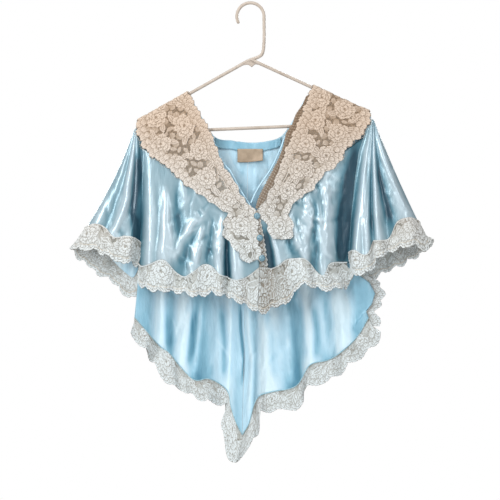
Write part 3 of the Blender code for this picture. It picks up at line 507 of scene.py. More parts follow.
def hung(part, side, steps):
    """A panel at even lengths from top to hem, the columns of its table and the length of each."""
    lengths = np.linspace(0, 1, LENGTH_SAMPLES)
    if part == "sleeve":
        table, samples = SLEEVE[side], sleeve_points(side, lengths, steps)
    else:
        table, samples = (FRONT if part == "front" else BACK)[side], panel_points(side, part, lengths, steps)
    where, col = columns_of(table, steps)
    return samples, where, col, np.maximum(samples[0][:, 2] - samples[-1][:, 2], 1.0)


def at_fractions(grid, fractions):
    """One point a column of a panel's samples, each at its own fraction of the length."""
    last = len(grid) - 1
    place = np.clip(fractions, 0, 1) * last
    row = np.clip(np.floor(place).astype(int), 0, last - 1)
    part = (place - row)[:, None]
    column = np.arange(grid.shape[1])
    return grid[row, column] * (1 - part) + grid[row + 1, column] * part


def normals_of(points):
    """Unit normals of a grid of points."""
    normal = np.cross(np.gradient(points, axis=1), np.gradient(points, axis=0))
    return normal / np.maximum(np.linalg.norm(normal, axis=-1, keepdims=True), 1e-9)


def along(line):
    """Distance run along a line of points, in millimetres."""
    return np.concatenate([[0], np.cumsum(np.linalg.norm(np.diff(line, axis=0), axis=1))])


def even_grid(control, spacing):
    """Refine a grid of points to even steps both ways; also gives the distances across and down."""
    down = np.concatenate([[0], np.cumsum(np.linalg.norm(np.diff(control, axis=0), axis=2).mean(axis=1))])
    over = np.concatenate([[0], np.cumsum(np.linalg.norm(np.diff(control, axis=1), axis=2).mean(axis=0))])
    places = []
    for run in (down, over):
        steps = np.linspace(0, run[-1], max(3, round(run[-1] / spacing) + 1))
        places.append((np.interp(steps, run, np.arange(len(run))), steps))
    (v, t), (u, s) = places
    fine = smooth(control, v)
    fine = np.swapaxes(smooth(np.swapaxes(fine, 0, 1), u), 0, 1)
    return fine, s, t


def lobes(line, pitch):
    """Scallops along a line: nought between two of them and one at the middle of each."""
    run = along(line)
    count = max(1, round(run[-1] / pitch))
    return np.abs(np.sin(np.pi * count * run / run[-1]))


def in_scene(name, data):
    """An object of this data, linked to the scene."""
    made = bpy.data.objects.new(name, data)
    bpy.context.scene.collection.objects.link(made)
    return made


def dressed_as(piece, node=None):
    """Hide the solid that a piece replaces, if one is named, and give the piece back."""
    if node:
        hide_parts(node)
    return piece


def new_piece(name, verts, quads, cloth_uv, values):
    """A smooth mesh with its cloth coordinates in metres and its values at each point."""
    mesh = bpy.data.meshes.new(name)
    mesh.from_pydata((verts * MM).tolist(), [], quads.tolist())
    layer = mesh.uv_layers.new(name="cloth")
    layer.data.foreach_set("uv", (cloth_uv[quads.ravel()] * MM).astype(np.float32).ravel())
    for key, field in values.items():
        attribute = mesh.attributes.new(key, "FLOAT", "POINT")
        attribute.data.foreach_set("value", field.astype(np.float32))
    mesh.shade_smooth()
    return in_scene(name, mesh)


def cells_of(shape, outward):
    """Corners of every cell of a grid, wound so that the cell faces outwards."""
    index = np.arange(shape[0] * shape[1]).reshape(shape)
    quads = np.stack([index[:-1, :-1], index[:-1, 1:], index[1:, 1:], index[1:, :-1]], axis=-1)
    return quads[..., ::-1] if outward < 0 else quads


def grid_mesh(name, points, outward, cloth_uv, values):
    """A mesh of quads over a grid of points."""
    quads = cells_of(points.shape[:2], outward).reshape(-1, 4)
    values = {key: field.ravel() for key, field in values.items()}
    return new_piece(name, points.reshape(-1, 3), quads, cloth_uv.reshape(-1, 2), values)


def pierced_mesh(name, face, back, outward, keep, cloth_uv, values):
    """A closed body between two grids, without the cells that keep leaves out."""
    count = face.shape[0] * face.shape[1]
    quads = cells_of(face.shape[:2], outward)
    walls = []
    rows, cols = keep.shape
    for side, (i, j) in enumerate(((-1, 0), (0, 1), (1, 0), (0, -1))):
        beyond = np.zeros_like(keep)
        beyond[max(0, -i):rows - max(0, i), max(0, -j):cols - max(0, j)] = \
            keep[max(0, i):rows + min(0, i), max(0, j):cols + min(0, j)]
        open_side = quads[keep & ~beyond]
        a, b = (side, (side + 1) % 4) if outward > 0 else (3 - side, (2 - side) % 4)
        start, end = open_side[:, a], open_side[:, b]
        walls.append(np.stack([end, start, start + count, end + count], axis=-1))
    kept = quads[keep]
    faces = np.concatenate([kept, kept[:, ::-1] + count] + walls)
    used, inverse = np.unique(faces, return_inverse=True)
    verts = np.concatenate([face.reshape(-1, 3), back.reshape(-1, 3)])[used]
    flat = np.tile(cloth_uv.reshape(-1, 2), (2, 1))[used]
    fields = {key: np.tile(field.ravel(), 2)[used] for key, field in values.items()}
    return new_piece(name, verts, inverse.reshape(-1, 4), flat, fields)


def thicken(piece, thickness, finish, inner=None):
    """Give a sheet its thickness, half to each side, with another finish on its inner face if named."""
    piece.data.materials.append(finish)
    solid = piece.modifiers.new("thickness", "SOLIDIFY")
    solid.thickness = thickness * MM
    solid.offset = 0
    if inner:
        piece.data.materials.append(inner)
        solid.material_offset = 1
    return piece


def blurred(field, cells):
    """A field smoothed along its rows."""
    reach = int(3 * cells)
    kernel = np.exp(-(np.arange(-reach, reach + 1) / cells) ** 2)
    kernel /= kernel.sum()
    wide = np.pad(field, ((0, 0), (reach, reach)), mode="edge")
    return np.apply_along_axis(lambda row: np.convolve(row, kernel, mode="valid"), 1, wide)


def satin_piece(part, side):
    """A satin panel down to just below the top of its hem lace, where the cloth is cut away."""
    samples, where, col, length = hung(part, side, STEPS)
    end = 1 - np.clip((col["hem_drop"] - col["lace_top"] - SATIN_UNDER_LACE) / length, 0, 0.5)
    rows = max(4, round(float(length.mean()) / SATIN_ROW))
    grid = np.array([at_fractions(samples, end * k / rows) for k in range(rows + 1)])
    away = np.full(where.shape, 1.0 if part == "back" else -1.0)
    # fold: painted shade in the valleys and creases, deepest in deep creases, and painted highlight on the crests,
    # read by the satin material
    rise = grid[..., 1] - blurred(grid[..., 1], STEPS * FOLD_REACH)
    placed = creased(grid[..., 0], -grid[..., 2], creases_of(part, side))
    placed += DEEP_SHADE * np.minimum(placed + DEEP_CREASE, 0)
    if part == "sleeve":
        away = -np.clip(OUTER_ROW[side] - where, -1, 1)
        placed *= np.clip((OUTER_ROW[side] - where) / CREASED_ROWS, 0, 1)
    fold = np.clip((FOLD_SHARE * rise * away + CREASE_SHARE * placed) / FOLD_DEPTH, -1, 1)
    uv = np.stack(np.meshgrid(along(grid[rows // 2]), along(grid[:, grid.shape[1] // 2])), axis=-1)
    piece = grid_mesh(f"{part}_{side}_satin", grid, OUTWARD[part, side], uv, {"fold": fold})
    thicken(piece, SATIN_CLOTH, SATIN, SATIN_BACK)
    return dressed_as(piece, f"{part}_{side}"), grid


class Lace:
    """Relief and holes of a stretch of lace, over two distances measured in millimetres."""

    def __init__(self, a, b):
        self.a, self.b = a, b
        self.relief = np.zeros_like(a)
        self.solid = np.zeros(a.shape, bool)
        self.hole = np.zeros(a.shape, bool)
        self.cut = np.zeros(a.shape, bool)
        self.shade = np.zeros_like(a)

    def lay(self, inside, height):
        """Lay solid work of some height over what is there."""
        self.relief = np.where(inside, height, self.relief)
        self.solid |= inside
        self.hole &= ~inside
        self.cut &= ~inside

    def petal(self, a0, b0, size, from_a, from_b, lift=0.0):
        """A cupped petal, low at the flower's middle, with fanning ribs and a ruffled, corded rim."""
        da, db = self.a - a0, self.b - b0
        away = np.hypot(da, db) * (1 + 0.07 * np.cos(7 * np.arctan2(db, da) + a0))
        out = np.hypot(self.a - from_a, self.b - from_b)
        reach = math.hypot(a0 - from_a, b0 - from_b)
        fan = np.arctan2(self.b - from_b, self.a - from_a) * max(5, round(2 * math.pi * reach / RIB))
        rise = np.clip((out - reach + size) / (2 * size), 0, 1)
        cup = 0.2 + 0.5 * rise + 0.17 * np.cos(fan)
        rim = np.exp(-((size - away - CORD) / CORD) ** 2)
        around = (away < size + PETAL_GAP) & self.solid
        self.relief = np.where(around, np.minimum(self.relief, GAP_RELIEF), self.relief)
        self.lay(away < size, lift + cup + 0.16 * rim * rise)

    def rose(self, a0, b0, size, turn):
        """Petals in three rings round a pierced eye, each ring over the last."""
        for ring, count, share, lift in ROSE_RINGS:
            for k in range(count):
                angle = turn + ring * 4 + 2 * math.pi * k / count
                reach = ring * size * (1 + 0.1 * math.sin(3 * angle + a0))
                spread = share * size * (1 + 0.12 * math.cos(2 * angle + b0))
                self.petal(a0 + reach * math.cos(angle), b0 + reach * math.sin(angle), spread, a0, b0, lift)
        away = np.hypot(self.a - a0, self.b - b0)
        self.lay(away < 0.13 * size, np.full_like(away, 0.15))
        for k in range(3):
            angle = turn + 0.6 + 2 * math.pi * k / 3
            a1, b1 = a0 + 0.12 * size * math.cos(angle), b0 + 0.12 * size * math.sin(angle)
            self.hole |= np.hypot(self.a - a1, self.b - b1) < CORD

    def scatter(self, spacing, seed, sizes=GROUND_PETALS):
        """Small petals and leaves over the ground between the flowers, as uneven as embroidery."""
        lot = np.random.default_rng(seed)
        low_a, high_a, low_b, high_b = self.a.min(), self.a.max(), self.b.min(), self.b.max()
        for row, b0 in enumerate(np.arange(low_b, high_b, spacing)):
            for a0 in np.arange(low_a + (row % 2) * spacing / 2, high_a, spacing):
                a1, b1 = a0 + lot.uniform(-2, 2), b0 + lot.uniform(-2, 2)
                angle, size = lot.uniform(0, 2 * math.pi), lot.uniform(*sizes)
                if lot.random() < LEAF_CHANCE:
                    self.leaf(a1, b1, size * 1.3, size * 0.62, angle)
                else:
                    self.petal(a1, b1, size, a1 - size * math.cos(angle), b1 - size * math.sin(angle))
        self.relief *= GROUND_RELIEF

    def leaf(self, a0, b0, length, width, turn):
        """A pointed leaf with a midrib and slanting veins."""
        c, s = math.cos(turn), math.sin(turn)
        u = (self.a - a0) * c + (self.b - b0) * s
        w = -(self.a - a0) * s + (self.b - b0) * c
        edge = width * (1 - (u / length) ** 2)
        inside = (np.abs(u) < length) & (np.abs(w) < edge)
        veins = 0.35 + 0.25 * np.cos(2 * np.pi * (u - 0.8 * np.abs(w)) / RIB)
        rim = np.exp(-((edge - np.abs(w) - CORD) / CORD) ** 2)
        midrib = np.exp(-(w / CORD) ** 2)
        self.lay(inside, np.maximum(veins, 0.9 * np.maximum(rim, midrib)))

    def shell(self, a0, b0, size, turn):
        """Cupped petals lying in each other, all from one root."""
        c, s = math.cos(turn), math.sin(turn)
        root_a, root_b = a0 - size * c, b0 - size * s
        for share, lift in SHELL_PETALS:
            reach = size * share
            self.petal(root_a + reach * c, root_b + reach * s, reach, root_a, root_b, lift)

    def border(self, outside, centres, inner, size):
        """Cut the sheet outside its border petals, so that they make its edge."""
        self.relief = np.where(outside, 0, self.relief)
        self.solid &= ~outside
        self.cut |= outside
        for (a0, b0), (from_a, from_b) in zip(centres, inner):
            self.petal(a0, b0, size, from_a, from_b, 0.08)
            self.petal(a0 * 0.6 + from_a * 0.4, b0 * 0.6 + from_b * 0.4, 0.62 * size, from_a, from_b, 0.16)

    def far_edge(self, size):
        """Border petals along the edge where the first distance ends."""
        rim = self.a.max() - size
        places = np.arange(4, self.b.max(), BORDER_PITCH)
        self.border(self.a > rim, [(rim, b0) for b0 in places], [(rim - 9, b0) for b0 in places], size)

    def cord(self, away, width=CORD):
        """A raised cord where away is near nought."""
        height = 0.95 * np.exp(-(away / width) ** 2)
        near = np.abs(away) < 1.3 * width
        self.relief = np.maximum(self.relief, height)
        self.solid |= near
        self.hole &= ~near

    def keep(self):
        """Cells that stay: all but the meshes of the net, the pierced eyes and what is cut off."""
        rows, cols = self.a.shape
        i, j = np.mgrid[0:rows - 1, 0:cols - 1]
        shift = (i // NET[1]) % 2 * (NET[0] // 2)
        mesh = ((j + shift) % NET[0] > 0) & (i % NET[1] > 0)
        solid = self.solid[:-1, :-1] | self.solid[1:, 1:]
        pierced = self.hole[:-1, :-1] & self.hole[1:, 1:]
        off = self.cut[:-1, :-1] & self.cut[1:, 1:]
        return ~(mesh & ~solid) & ~pierced & ~off


def lace_piece(name, points, outward, lace, replaced):
    """Raise the relief on both sides of the sheet and cut its net."""
    normal = normals_of(points) * outward
    relief = lace.relief[..., None]
    face = points + normal * (relief * RELIEF + LACE_CLOTH / 2)
    back = points - normal * (relief * RELIEF_BACK + LACE_CLOTH / 2)
    uv = np.stack([lace.a, lace.b], axis=-1)
    keep = lace.keep()
    # Painted shade: darker where the work lies lower than round it, plus the painted shade of the hem lace's folds and
    # of the rolled neck edge
    around = blurred(blurred(lace.relief, HOLLOW_REACH).T, HOLLOW_REACH).T
    painted_shade = np.clip(lace.shade + (around - lace.relief) * HOLLOW_SHADE, 0, 1)
    piece = pierced_mesh(name, face, back, outward, keep, uv, {"relief": lace.relief, "painted_shade": painted_shade})
    piece.data.materials.append(LACE)
    return dressed_as(piece, replaced)


# Columns left off at the ends of a hem's lace, where other cloth lies over it
LACE_ENDS = {("front", "left"): (None, -2), ("sleeve", "right"): (1, None), ("sleeve", "left"): (None, -4)}


def hem_lace(part, side):
    """Scalloped lace round a hem, laid on the satin and passing beyond it."""
    outward = OUTWARD[part, side]
    middle = {"front": -1 if side == "right" else 0, "back": 0, "sleeve": None}[part]
    samples, where, col, length = hung(part, side, LACE_STEPS)
    hem = samples[-1]
    rise = (col["hem_drop"] - col["lace_top"]) / length
    rows = [at_fractions(samples, 1 - rise * k) for k in (1.0, 0.66, 0.33)]
    rows.append(hem)
    out = np.stack([col["lace_x"], hem[:, 1], -col["lace_drop"]], axis=-1)
    if middle is not None:
        out[middle, 0] += hem[middle, 0] - col["hem_x"][middle]
    reach = out - hem
    span = np.maximum(np.linalg.norm(reach, axis=1, keepdims=True), 1.0)
    reach *= (span + BORDER_SPARE) / span
    wave = lobes(hem, SCALLOP_PITCH[part]) - 0.5
    ruffle = {"front": -1, "back": 1, "sleeve": outward}[part] * RUFFLE[part] * wave
    slope = (hem[:, 1] - samples[round(0.9 * LENGTH_SAMPLES)][:, 1]) * 0.5
    for share in (0.5, 1.0):
        row = hem + reach * share + reach / span * (wave * SCALLOP_DEPTH[part])[:, None] * share
        row[:, 1] += slope * share * 0.5 + ruffle * share
        if middle is not None:
            row[middle, 0] = out[middle, 0] * share + hem[middle, 0] * (1 - share)
        rows.append(row)
    control = np.array(rows)
    normal = normals_of(control) * outward
    if middle is not None:
        normal[:, middle, 0] = 0
        normal /= np.linalg.norm(normal, axis=-1, keepdims=True)
    control = (control + normal * (SATIN_WALL / 2 + LAY_GAP))[:, slice(*LACE_ENDS.get((part, side), (None, None)))]
    fine, s, t = even_grid(control, LACE_GRID)
    down = np.cumsum(np.pad(np.linalg.norm(np.diff(fine, axis=0), axis=2), ((1, 0), (0, 0))), axis=0)
    width = down[-1]
    lace = Lace(np.tile(s, (len(t), 1)), width[None, :] - down)
    lace.scatter(9.5, len(s))
    middles = [float(s[np.argmin(np.abs(fine[0, :, 0] - x))]) for x in HEM_ROSES.get((part, side), ())]
    if not middles:
        count = max(1, round(s[-1] / ROSE_PITCH))
        middles = [(k + 0.5) * s[-1] / count for k in range(count)]
    for a0, a1 in zip([middles[0] - ROSE_PITCH] + middles, middles + [middles[-1] + ROSE_PITCH]):
        between = (a0 + a1) / 2
        wide = float(np.interp(between, s, width))
        for step in (-0.2, 0.2):
            lace.shell(between + step * (a1 - a0), wide * 0.3, wide * 0.34, -math.pi / 2)
        lace.leaf(between, wide * 0.6, wide * 0.28, wide * 0.14, 0.5)
    for number, a0 in enumerate(middles):
        wide = float(np.interp(a0, s, width))
        lace.shell(a0 - wide * 0.2, wide * 0.32, wide * 0.32, -math.pi / 2)
        lace.shell(a0 + wide * 0.22, wide * 0.3, wide * 0.3, -math.pi / 2)
        lace.rose(a0, wide * 0.62, wide * 0.37, 0.7 * number)
    lace.cord(width[None, :] - lace.b - 1.2)
    for a0, reach, strength in HEM_SHADE.get((part, side), ()):
        lace.shade += strength * np.exp(-((lace.a - a0) / reach) ** 2)
    steps = np.arange(BORDER_PETAL, s[-1], BORDER_PITCH)
    lace.border(lace.b < BORDER_PETAL, [(a0, BORDER_PETAL + 0.2) for a0 in steps],
                [(a0, 12) for a0 in steps], BORDER_PETAL)
    return lace_piece(f"{part}_hem_lace_{side}", fine, outward, lace, f"{part}_edging_{side}"), fine


def tree_of(grids):
    """Something to cast rays at, made of several grids of points."""
    verts, faces = [], []
    for grid in grids:
        faces += (cells_of(grid.shape[:2], 1).reshape(-1, 4) + len(verts)).tolist()
        verts += [Vector(p) for p in grid.reshape(-1, 3)]
    return BVHTree.FromPolygons(verts, faces)


def first_hits(points, tree, spread):
    """Depth of the nearest cloth seen from the front round each point, or infinity."""
    hits = np.full(points.shape[:2], np.inf)
    for i, row in enumerate(points):
        for j, p in enumerate(row):
            for dx, dz in ((0, 0), (spread, 0), (-spread, 0), (0, spread), (0, -spread)):
                hit = tree.ray_cast(Vector((p[0] + dx, -FAR, p[2] + dz)), Vector((0, 1, 0)))[0]
                if hit is not None:
                    hits[i, j] = min(hits[i, j], hit.y)
    return hits


NECK_SCALLOP = 0.9      # the neck edge's scallops against those of the outer edge
NECK_SPARE = 0.6
NECK_PETAL = 7.5
YOKE_PETAL = 8.0
HIT_SPREAD = 2.5        # how far round a point the cloth below is felt for
HIT_SPARE = 0.25


def yoke_lace(side, tree):
    """Lace yoke from over the hanger's arm down to the centre front."""
    where, col = columns_of(YOKE[side], 3)
    neck = np.stack([col["neck_x"], -col["neck_drop"]], axis=-1)
    outer = np.stack([col["outer_x"], -col["outer_drop"]], axis=-1)
    span = outer - neck
    length = np.linalg.norm(span, axis=1, keepdims=True)
    pitch, depth = SCALLOP_PITCH["yoke"], SCALLOP_DEPTH["yoke"]
    outer = outer + span / length * (lobes(outer, pitch)[:, None] - 0.5) * depth
    neck = neck - span / length * (lobes(neck, pitch)[:, None] - 0.5) * depth * NECK_SCALLOP
    outer += span / length * BORDER_SPARE
    neck -= span / length * BORDER_SPARE * NECK_SPARE
    u = np.linspace(0, 1, 14)[None, :, None]
    flat = neck[:, None, :] * (1 - u) + outer[:, None, :] * u
    depth = base_depth(flat[..., 0], -flat[..., 1], -1) - YOKE_LIFT
    points = np.stack([flat[..., 0], depth, flat[..., 1]], axis=-1)
    clear = first_hits(points, tree, HIT_SPREAD) - SATIN_WALL / 2 - LAY_GAP - LACE_WALL / 2 - HIT_SPARE
    points[..., 1] = np.minimum(points[..., 1], clear)
    grip = -(FRONT_GRIP + YOKE_LIFT)
    ridge = []
    for angle in RIDGE_ANGLES:
        row = points[0].copy()
        row[:, 1] = grip * math.sin(math.radians(angle))
        row[:, 2] = -arm_drop(row[:, 0]) + RIDGE_RISE * math.cos(math.radians(angle))
        ridge.append(row)
    control = np.array(ridge + list(points))
    fine, s, t = even_grid(control, LACE_GRID)
    run = along(fine[:, fine.shape[1] // 2])
    lace = Lace(fine[..., 0], -fine[..., 2])
    ridge_rows = fine[..., 1] > -FRONT_GRIP
    lace.b = np.where(ridge_rows, lace.b - (fine[..., 1] + FRONT_GRIP), lace.b)
    share = np.linspace(0, 1, fine.shape[1])[None, :]
    width = np.linalg.norm(fine[:, -1] - fine[:, 0], axis=1)[:, None]
    lace.scatter(13.0, len(fine))
    for rose in ROSES[side]:
        for k in range(3):
            angle = rose.turn + 0.5 + 2 * math.pi * k / 3
            out = 1.25 * rose.size
            lace.leaf(rose.x + out * math.cos(angle), rose.drop + out * math.sin(angle),
                      rose.size * 0.62, rose.size * 0.28, angle + 0.35)
    for away in (14.0, 17.5):
        lace.cord(share * width - away, CORD * 0.8)
    for rose in ROSES[side]:
        lace.rose(rose.x, rose.drop, rose.size, rose.turn)
    for edge, inward, size in ((0, 1, NECK_PETAL), (fine.shape[1] - 1, -1, YOKE_PETAL)):
        from_edge = share * width if edge == 0 else (1 - share) * width
        places = [int(np.argmin(np.abs(run - d))) for d in np.arange(size, run[-1], 1.35 * size)]
        step = float(width[:, 0].mean()) / fine.shape[1]
        cols = [edge + inward * max(1, round(reach / step)) for reach in (size, 2.4 * size)]
        centres, inner = [[(lace.a[i, c], lace.b[i, c]) for i in places] for c in cols]
        lace.border(from_edge < size, centres, inner, size)
    return lace_piece(f"yoke_lace_{side}", fine, 1 if side == "right" else -1, lace, f"yoke_{side}"), fine


# Hanger: a 6 mm tube, tilted a little on its nail
TUBE_RADIUS = 3.0
TUBE_STEP = 2.0
TUBE_SIDES = 20
ARM_END = {"right": -212.0, "left": 224.0}
BAR_END = {"right": -186.0, "left": 196.0}
BAR_DROP = 227.5
CORNER_RADIUS = 9.0
HOOK_RADIUS = 25.0
HOOK_X = -1.0
HOOK_Z = -22.0
HOOK_TURN = 205.0
HOOK_NECK = ((24.0, 0.0, 68.0), (21.0, 0.0, 90.0), (13.0, 0.0, 97.0), (2.0, 0.0, 101.0), (-8.0, 0.8, 105.0))
WEB_REACH = 21.0
WEB_DROP = 5.5
NUB_DROP = 5.0

GIMP_ROW = 10          # rows of the lace grid from its edge to the raised cord
BINDING = {            # satin bindings just inside the neck edges: x and drop
    "right": ((-70, 250), (-66, 260), (-59, 278), (-48, 296), (-37, 309), (-22, 338), (-2, 370)),
    "left": ((64, 240), (60, 251), (49, 278), (35, 306), (20, 328), (9, 346), (0, 366)),
}
BINDING_RADIUS = 1.7
FACING_SHADE = -0.45   # the facing lies in the shade of the neck
SIDE_LACE_DROPS = (482.0, 592.0)
SIDE_LACE_WIDTH = 19.0
FRONT_EDGE_COLUMNS = round(1.6 * STEPS)


def band_lace():
    """Lace neck edge rolled under behind the wearer's left yoke: plain net between scalloped edges."""
    where, col = columns_of(ROLL, 4)
    u = np.linspace(0, 1, 5)[None, :]
    x = col["neck_x"][:, None] * (1 - u) + col["outer_x"][:, None] * u
    drop = col["neck_drop"][:, None] * (1 - u) + col["outer_drop"][:, None] * u
    depth = base_depth(x, drop, -1) + np.linspace(*ROLL_DEPTH, len(where))[:, None]
    fine, s, t = even_grid(np.stack([x, depth, -drop], axis=-1), LACE_GRID)
    lace = Lace(*np.meshgrid(s, t))
    middles = np.arange(3, t[-1], 5.4)
    for k, b0 in enumerate(middles[::3]):
        lace.leaf(s[-1] * 0.5, b0 + 3, 6.5, 3.0, 1.4 + 0.4 * (-1) ** k)
    lace.relief *= 0.5
    for edge, inner in ((3.0, 10.0), (s[-1] - 3.0, s[-1] - 10.0)):
        outside = lace.a < edge if edge < inner else lace.a > edge
        lace.border(outside, [(edge, b0) for b0 in middles], [(inner, b0) for b0 in middles], 3.0)
    lace.solid[:] = True
    lace.relief *= 0.5
    lace.shade += SHADED
    return lace_piece("neck_roll_lace", fine, -1, lace, "neck_roll_left"), fine


def side_lace():
    """Lace up the side edge of the wearer's left back, to where the sleeve hides it."""
    drops = np.linspace(*SIDE_LACE_DROPS, 29)
    edge = side_x("left", drops)
    wave = lobes(np.stack([edge, drops], axis=-1), SCALLOP_PITCH["sleeve"])
    u = np.linspace(0, 1, 6)[None, :]
    x = edge[:, None] - 3 + (SIDE_LACE_WIDTH + SCALLOP_DEPTH["sleeve"] * wave)[:, None] * u
    depth = 4.5 + 4.0 * u * (wave - 0.5)[:, None] + 3.0 * u
    fine, s, t = even_grid(np.stack([x, depth, np.repeat(-drops[:, None], 6, axis=1)], axis=-1), LACE_GRID)
    lace = Lace(*np.meshgrid(s, t))
    lace.scatter(9.0, len(t))
    for number, b0 in enumerate(np.arange(12, t[-1], 24)):
        lace.rose(s[-1] * 0.45, b0, 8.5, 0.9 * number)
    lace.far_edge(BORDER_PETAL)
    return lace_piece("back_side_lace_left", fine, 1, lace, "back_edging_left"), fine


def front_edge_lace(grid):
    """Narrow lace up the wearer's left edge of the centre front, in the shade of the other edge."""
    control = grid[::4, :FRONT_EDGE_COLUMNS] - np.array([0, SATIN_WALL / 2 + LAY_GAP, 0])
    fine, s, t = even_grid(control, LACE_GRID)
    lace = Lace(*np.meshgrid(s, t))
    lace.scatter(8.5, len(t), (4.0, 5.5))
    lace.far_edge(4.5)
    lace.shade += SHADED * 0.8
    return lace_piece("front_edge_lace_left", fine, -1, lace, "front_edging_left"), fine


def neck_trim(backs):
    """Satin facing along the inside of the back neck."""
    strips = []
    for grid in backs:
        top, below = grid[0, :NECK_COLUMNS], grid[3, :NECK_COLUMNS]
        run = np.linalg.norm(below - top, axis=1, keepdims=True)
        strips.append([top + (below - top) * FACING_DROP * k / run for k in (0.06, 0.3, 0.55, 0.8, 1.0)])
    joined = np.concatenate([np.array(strips[0])[:, ::-1], np.array(strips[1])[:, 1:]], axis=1)
    joined[..., 1] -= SATIN_WALL / 2 + LAY_GAP + 0.5
    fine, s, t = even_grid(joined, LACE_GRID * 2)
    fine[..., 1] -= 0.5 * np.sin(np.linspace(0, math.pi, len(t)))[:, None] + 0.25 * np.sin(s / 6.0)[None, :]
    facing = grid_mesh("neck_facing_satin", fine, -1, np.stack(np.meshgrid(s, t), axis=-1),
                       {"fold": np.full(fine.shape[:2], FACING_SHADE)})
    thicken(facing, 0.8, SATIN_BACK)
    return dressed_as(facing, "neck_facing"), fine


def woven_label():
    """Blank woven label, one lower corner lifted."""
    low, high = [np.array(v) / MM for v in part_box("neck_label")]
    s, t = np.linspace(0, 1, 24), np.linspace(0, 1, 14)
    u, v = np.meshgrid(s, t)
    x = low[0] + (high[0] - low[0]) * u
    z = high[2] - (high[2] - low[2]) * v
    lifted = np.clip(u + v - 1.35, 0, 1) * 9
    depth = (low[1] + high[1]) / 2 - 0.35 * np.sin(u * 9) * v - lifted
    z = z + lifted * 0.5
    grid = np.stack([x, depth, z], axis=-1)
    label = grid_mesh("neck_label_woven", grid, 1, np.stack([x - low[0], -z], axis=-1), {})
    thicken(label, 0.6, LABEL)
    return dressed_as(label, "neck_label"), grid


def add(tree, kind, settings=None, inputs=None):
    """Add a node to a tree with its settings; inputs are values or the outputs they are linked to."""
    made = tree.nodes.new(kind)
    for name, value in (settings or {}).items():
        setattr(made, name, value)
    for key, value in (inputs or {}).items():
        socket = made.inputs[key]
        if isinstance(value, bpy.types.NodeSocket):
            tree.links.new(value, socket)
        else:
            socket.default_value = value
    return made


def nodes_tree(name, sizes):
    """A geometry tree with a mesh input, named sizes in metres and a material."""
    tree = bpy.data.node_groups.new(name, "GeometryNodeTree")
    tree.interface.new_socket("Geometry", in_out="INPUT", socket_type="NodeSocketGeometry")
    for size, value in sizes.items():
        socket = tree.interface.new_socket(size, in_out="INPUT", socket_type="NodeSocketFloat")
        socket.default_value = value
    tree.interface.new_socket("Material", in_out="INPUT", socket_type="NodeSocketMaterial")
    tree.interface.new_socket("Geometry", in_out="OUTPUT", socket_type="NodeSocketGeometry")
    return tree, add(tree, "NodeGroupInput").outputs


def stitch_tree():
    """Slanting stitches at even steps along a line."""
    tree, given = nodes_tree("stitches along a line", {"Spacing": 0.003, "Length": 0.0026, "Thread": 0.0004,
                                                       "Slant": 0.6})
    line = add(tree, "GeometryNodeMeshToCurve", None, {"Mesh": given["Geometry"]})
    even = add(tree, "GeometryNodeResampleCurve", {"mode": "LENGTH"},
               {"Curve": line.outputs["Curve"], "Length": given["Spacing"]})
    thread = add(tree, "GeometryNodeMeshUVSphere", None, {"Segments": 6, "Rings": 5, "Radius": 1.0})
    half = add(tree, "ShaderNodeMath", {"operation": "MULTIPLY"}, {0: given["Length"], 1: 0.5})
    size = add(tree, "ShaderNodeCombineXYZ", None, {"X": half.outputs[0], "Y": given["Thread"], "Z": given["Thread"]})
    tangent = add(tree, "GeometryNodeInputTangent")
    aim = add(tree, "FunctionNodeAlignRotationToVector", {"axis": "X"}, {"Vector": tangent.outputs[0]})
    count = add(tree, "GeometryNodeInputIndex")
    odd = add(tree, "ShaderNodeMath", {"operation": "MODULO"}, {0: count.outputs[0], 1: 2.0})
    side = add(tree, "ShaderNodeMath", {"operation": "MULTIPLY_ADD"}, {0: odd.outputs[0], 1: 2.0, 2: -1.0})
    lean = add(tree, "ShaderNodeMath", {"operation": "MULTIPLY"}, {0: side.outputs[0], 1: given["Slant"]})
    about = add(tree, "ShaderNodeCombineXYZ", None, {"Y": lean.outputs[0]})
    euler = add(tree, "FunctionNodeEulerToRotation", None, {0: about.outputs[0]})
    turned = add(tree, "FunctionNodeRotateRotation", {"rotation_space": "LOCAL"},
                 {"Rotation": aim.outputs[0], "Rotate By": euler.outputs[0]})
    placed = add(tree, "GeometryNodeInstanceOnPoints", None,
                 {"Points": even.outputs["Curve"], "Instance": thread.outputs["Mesh"],
                  "Rotation": turned.outputs[0], "Scale": size.outputs[0]})
    real = add(tree, "GeometryNodeRealizeInstances", None, {"Geometry": placed.outputs[0]})
    shown = add(tree, "GeometryNodeSetMaterial", None, {"Geometry": real.outputs[0], "Material": given["Material"]})
    add(tree, "NodeGroupOutput", None, {"Geometry": shown.outputs[0]})
    return tree


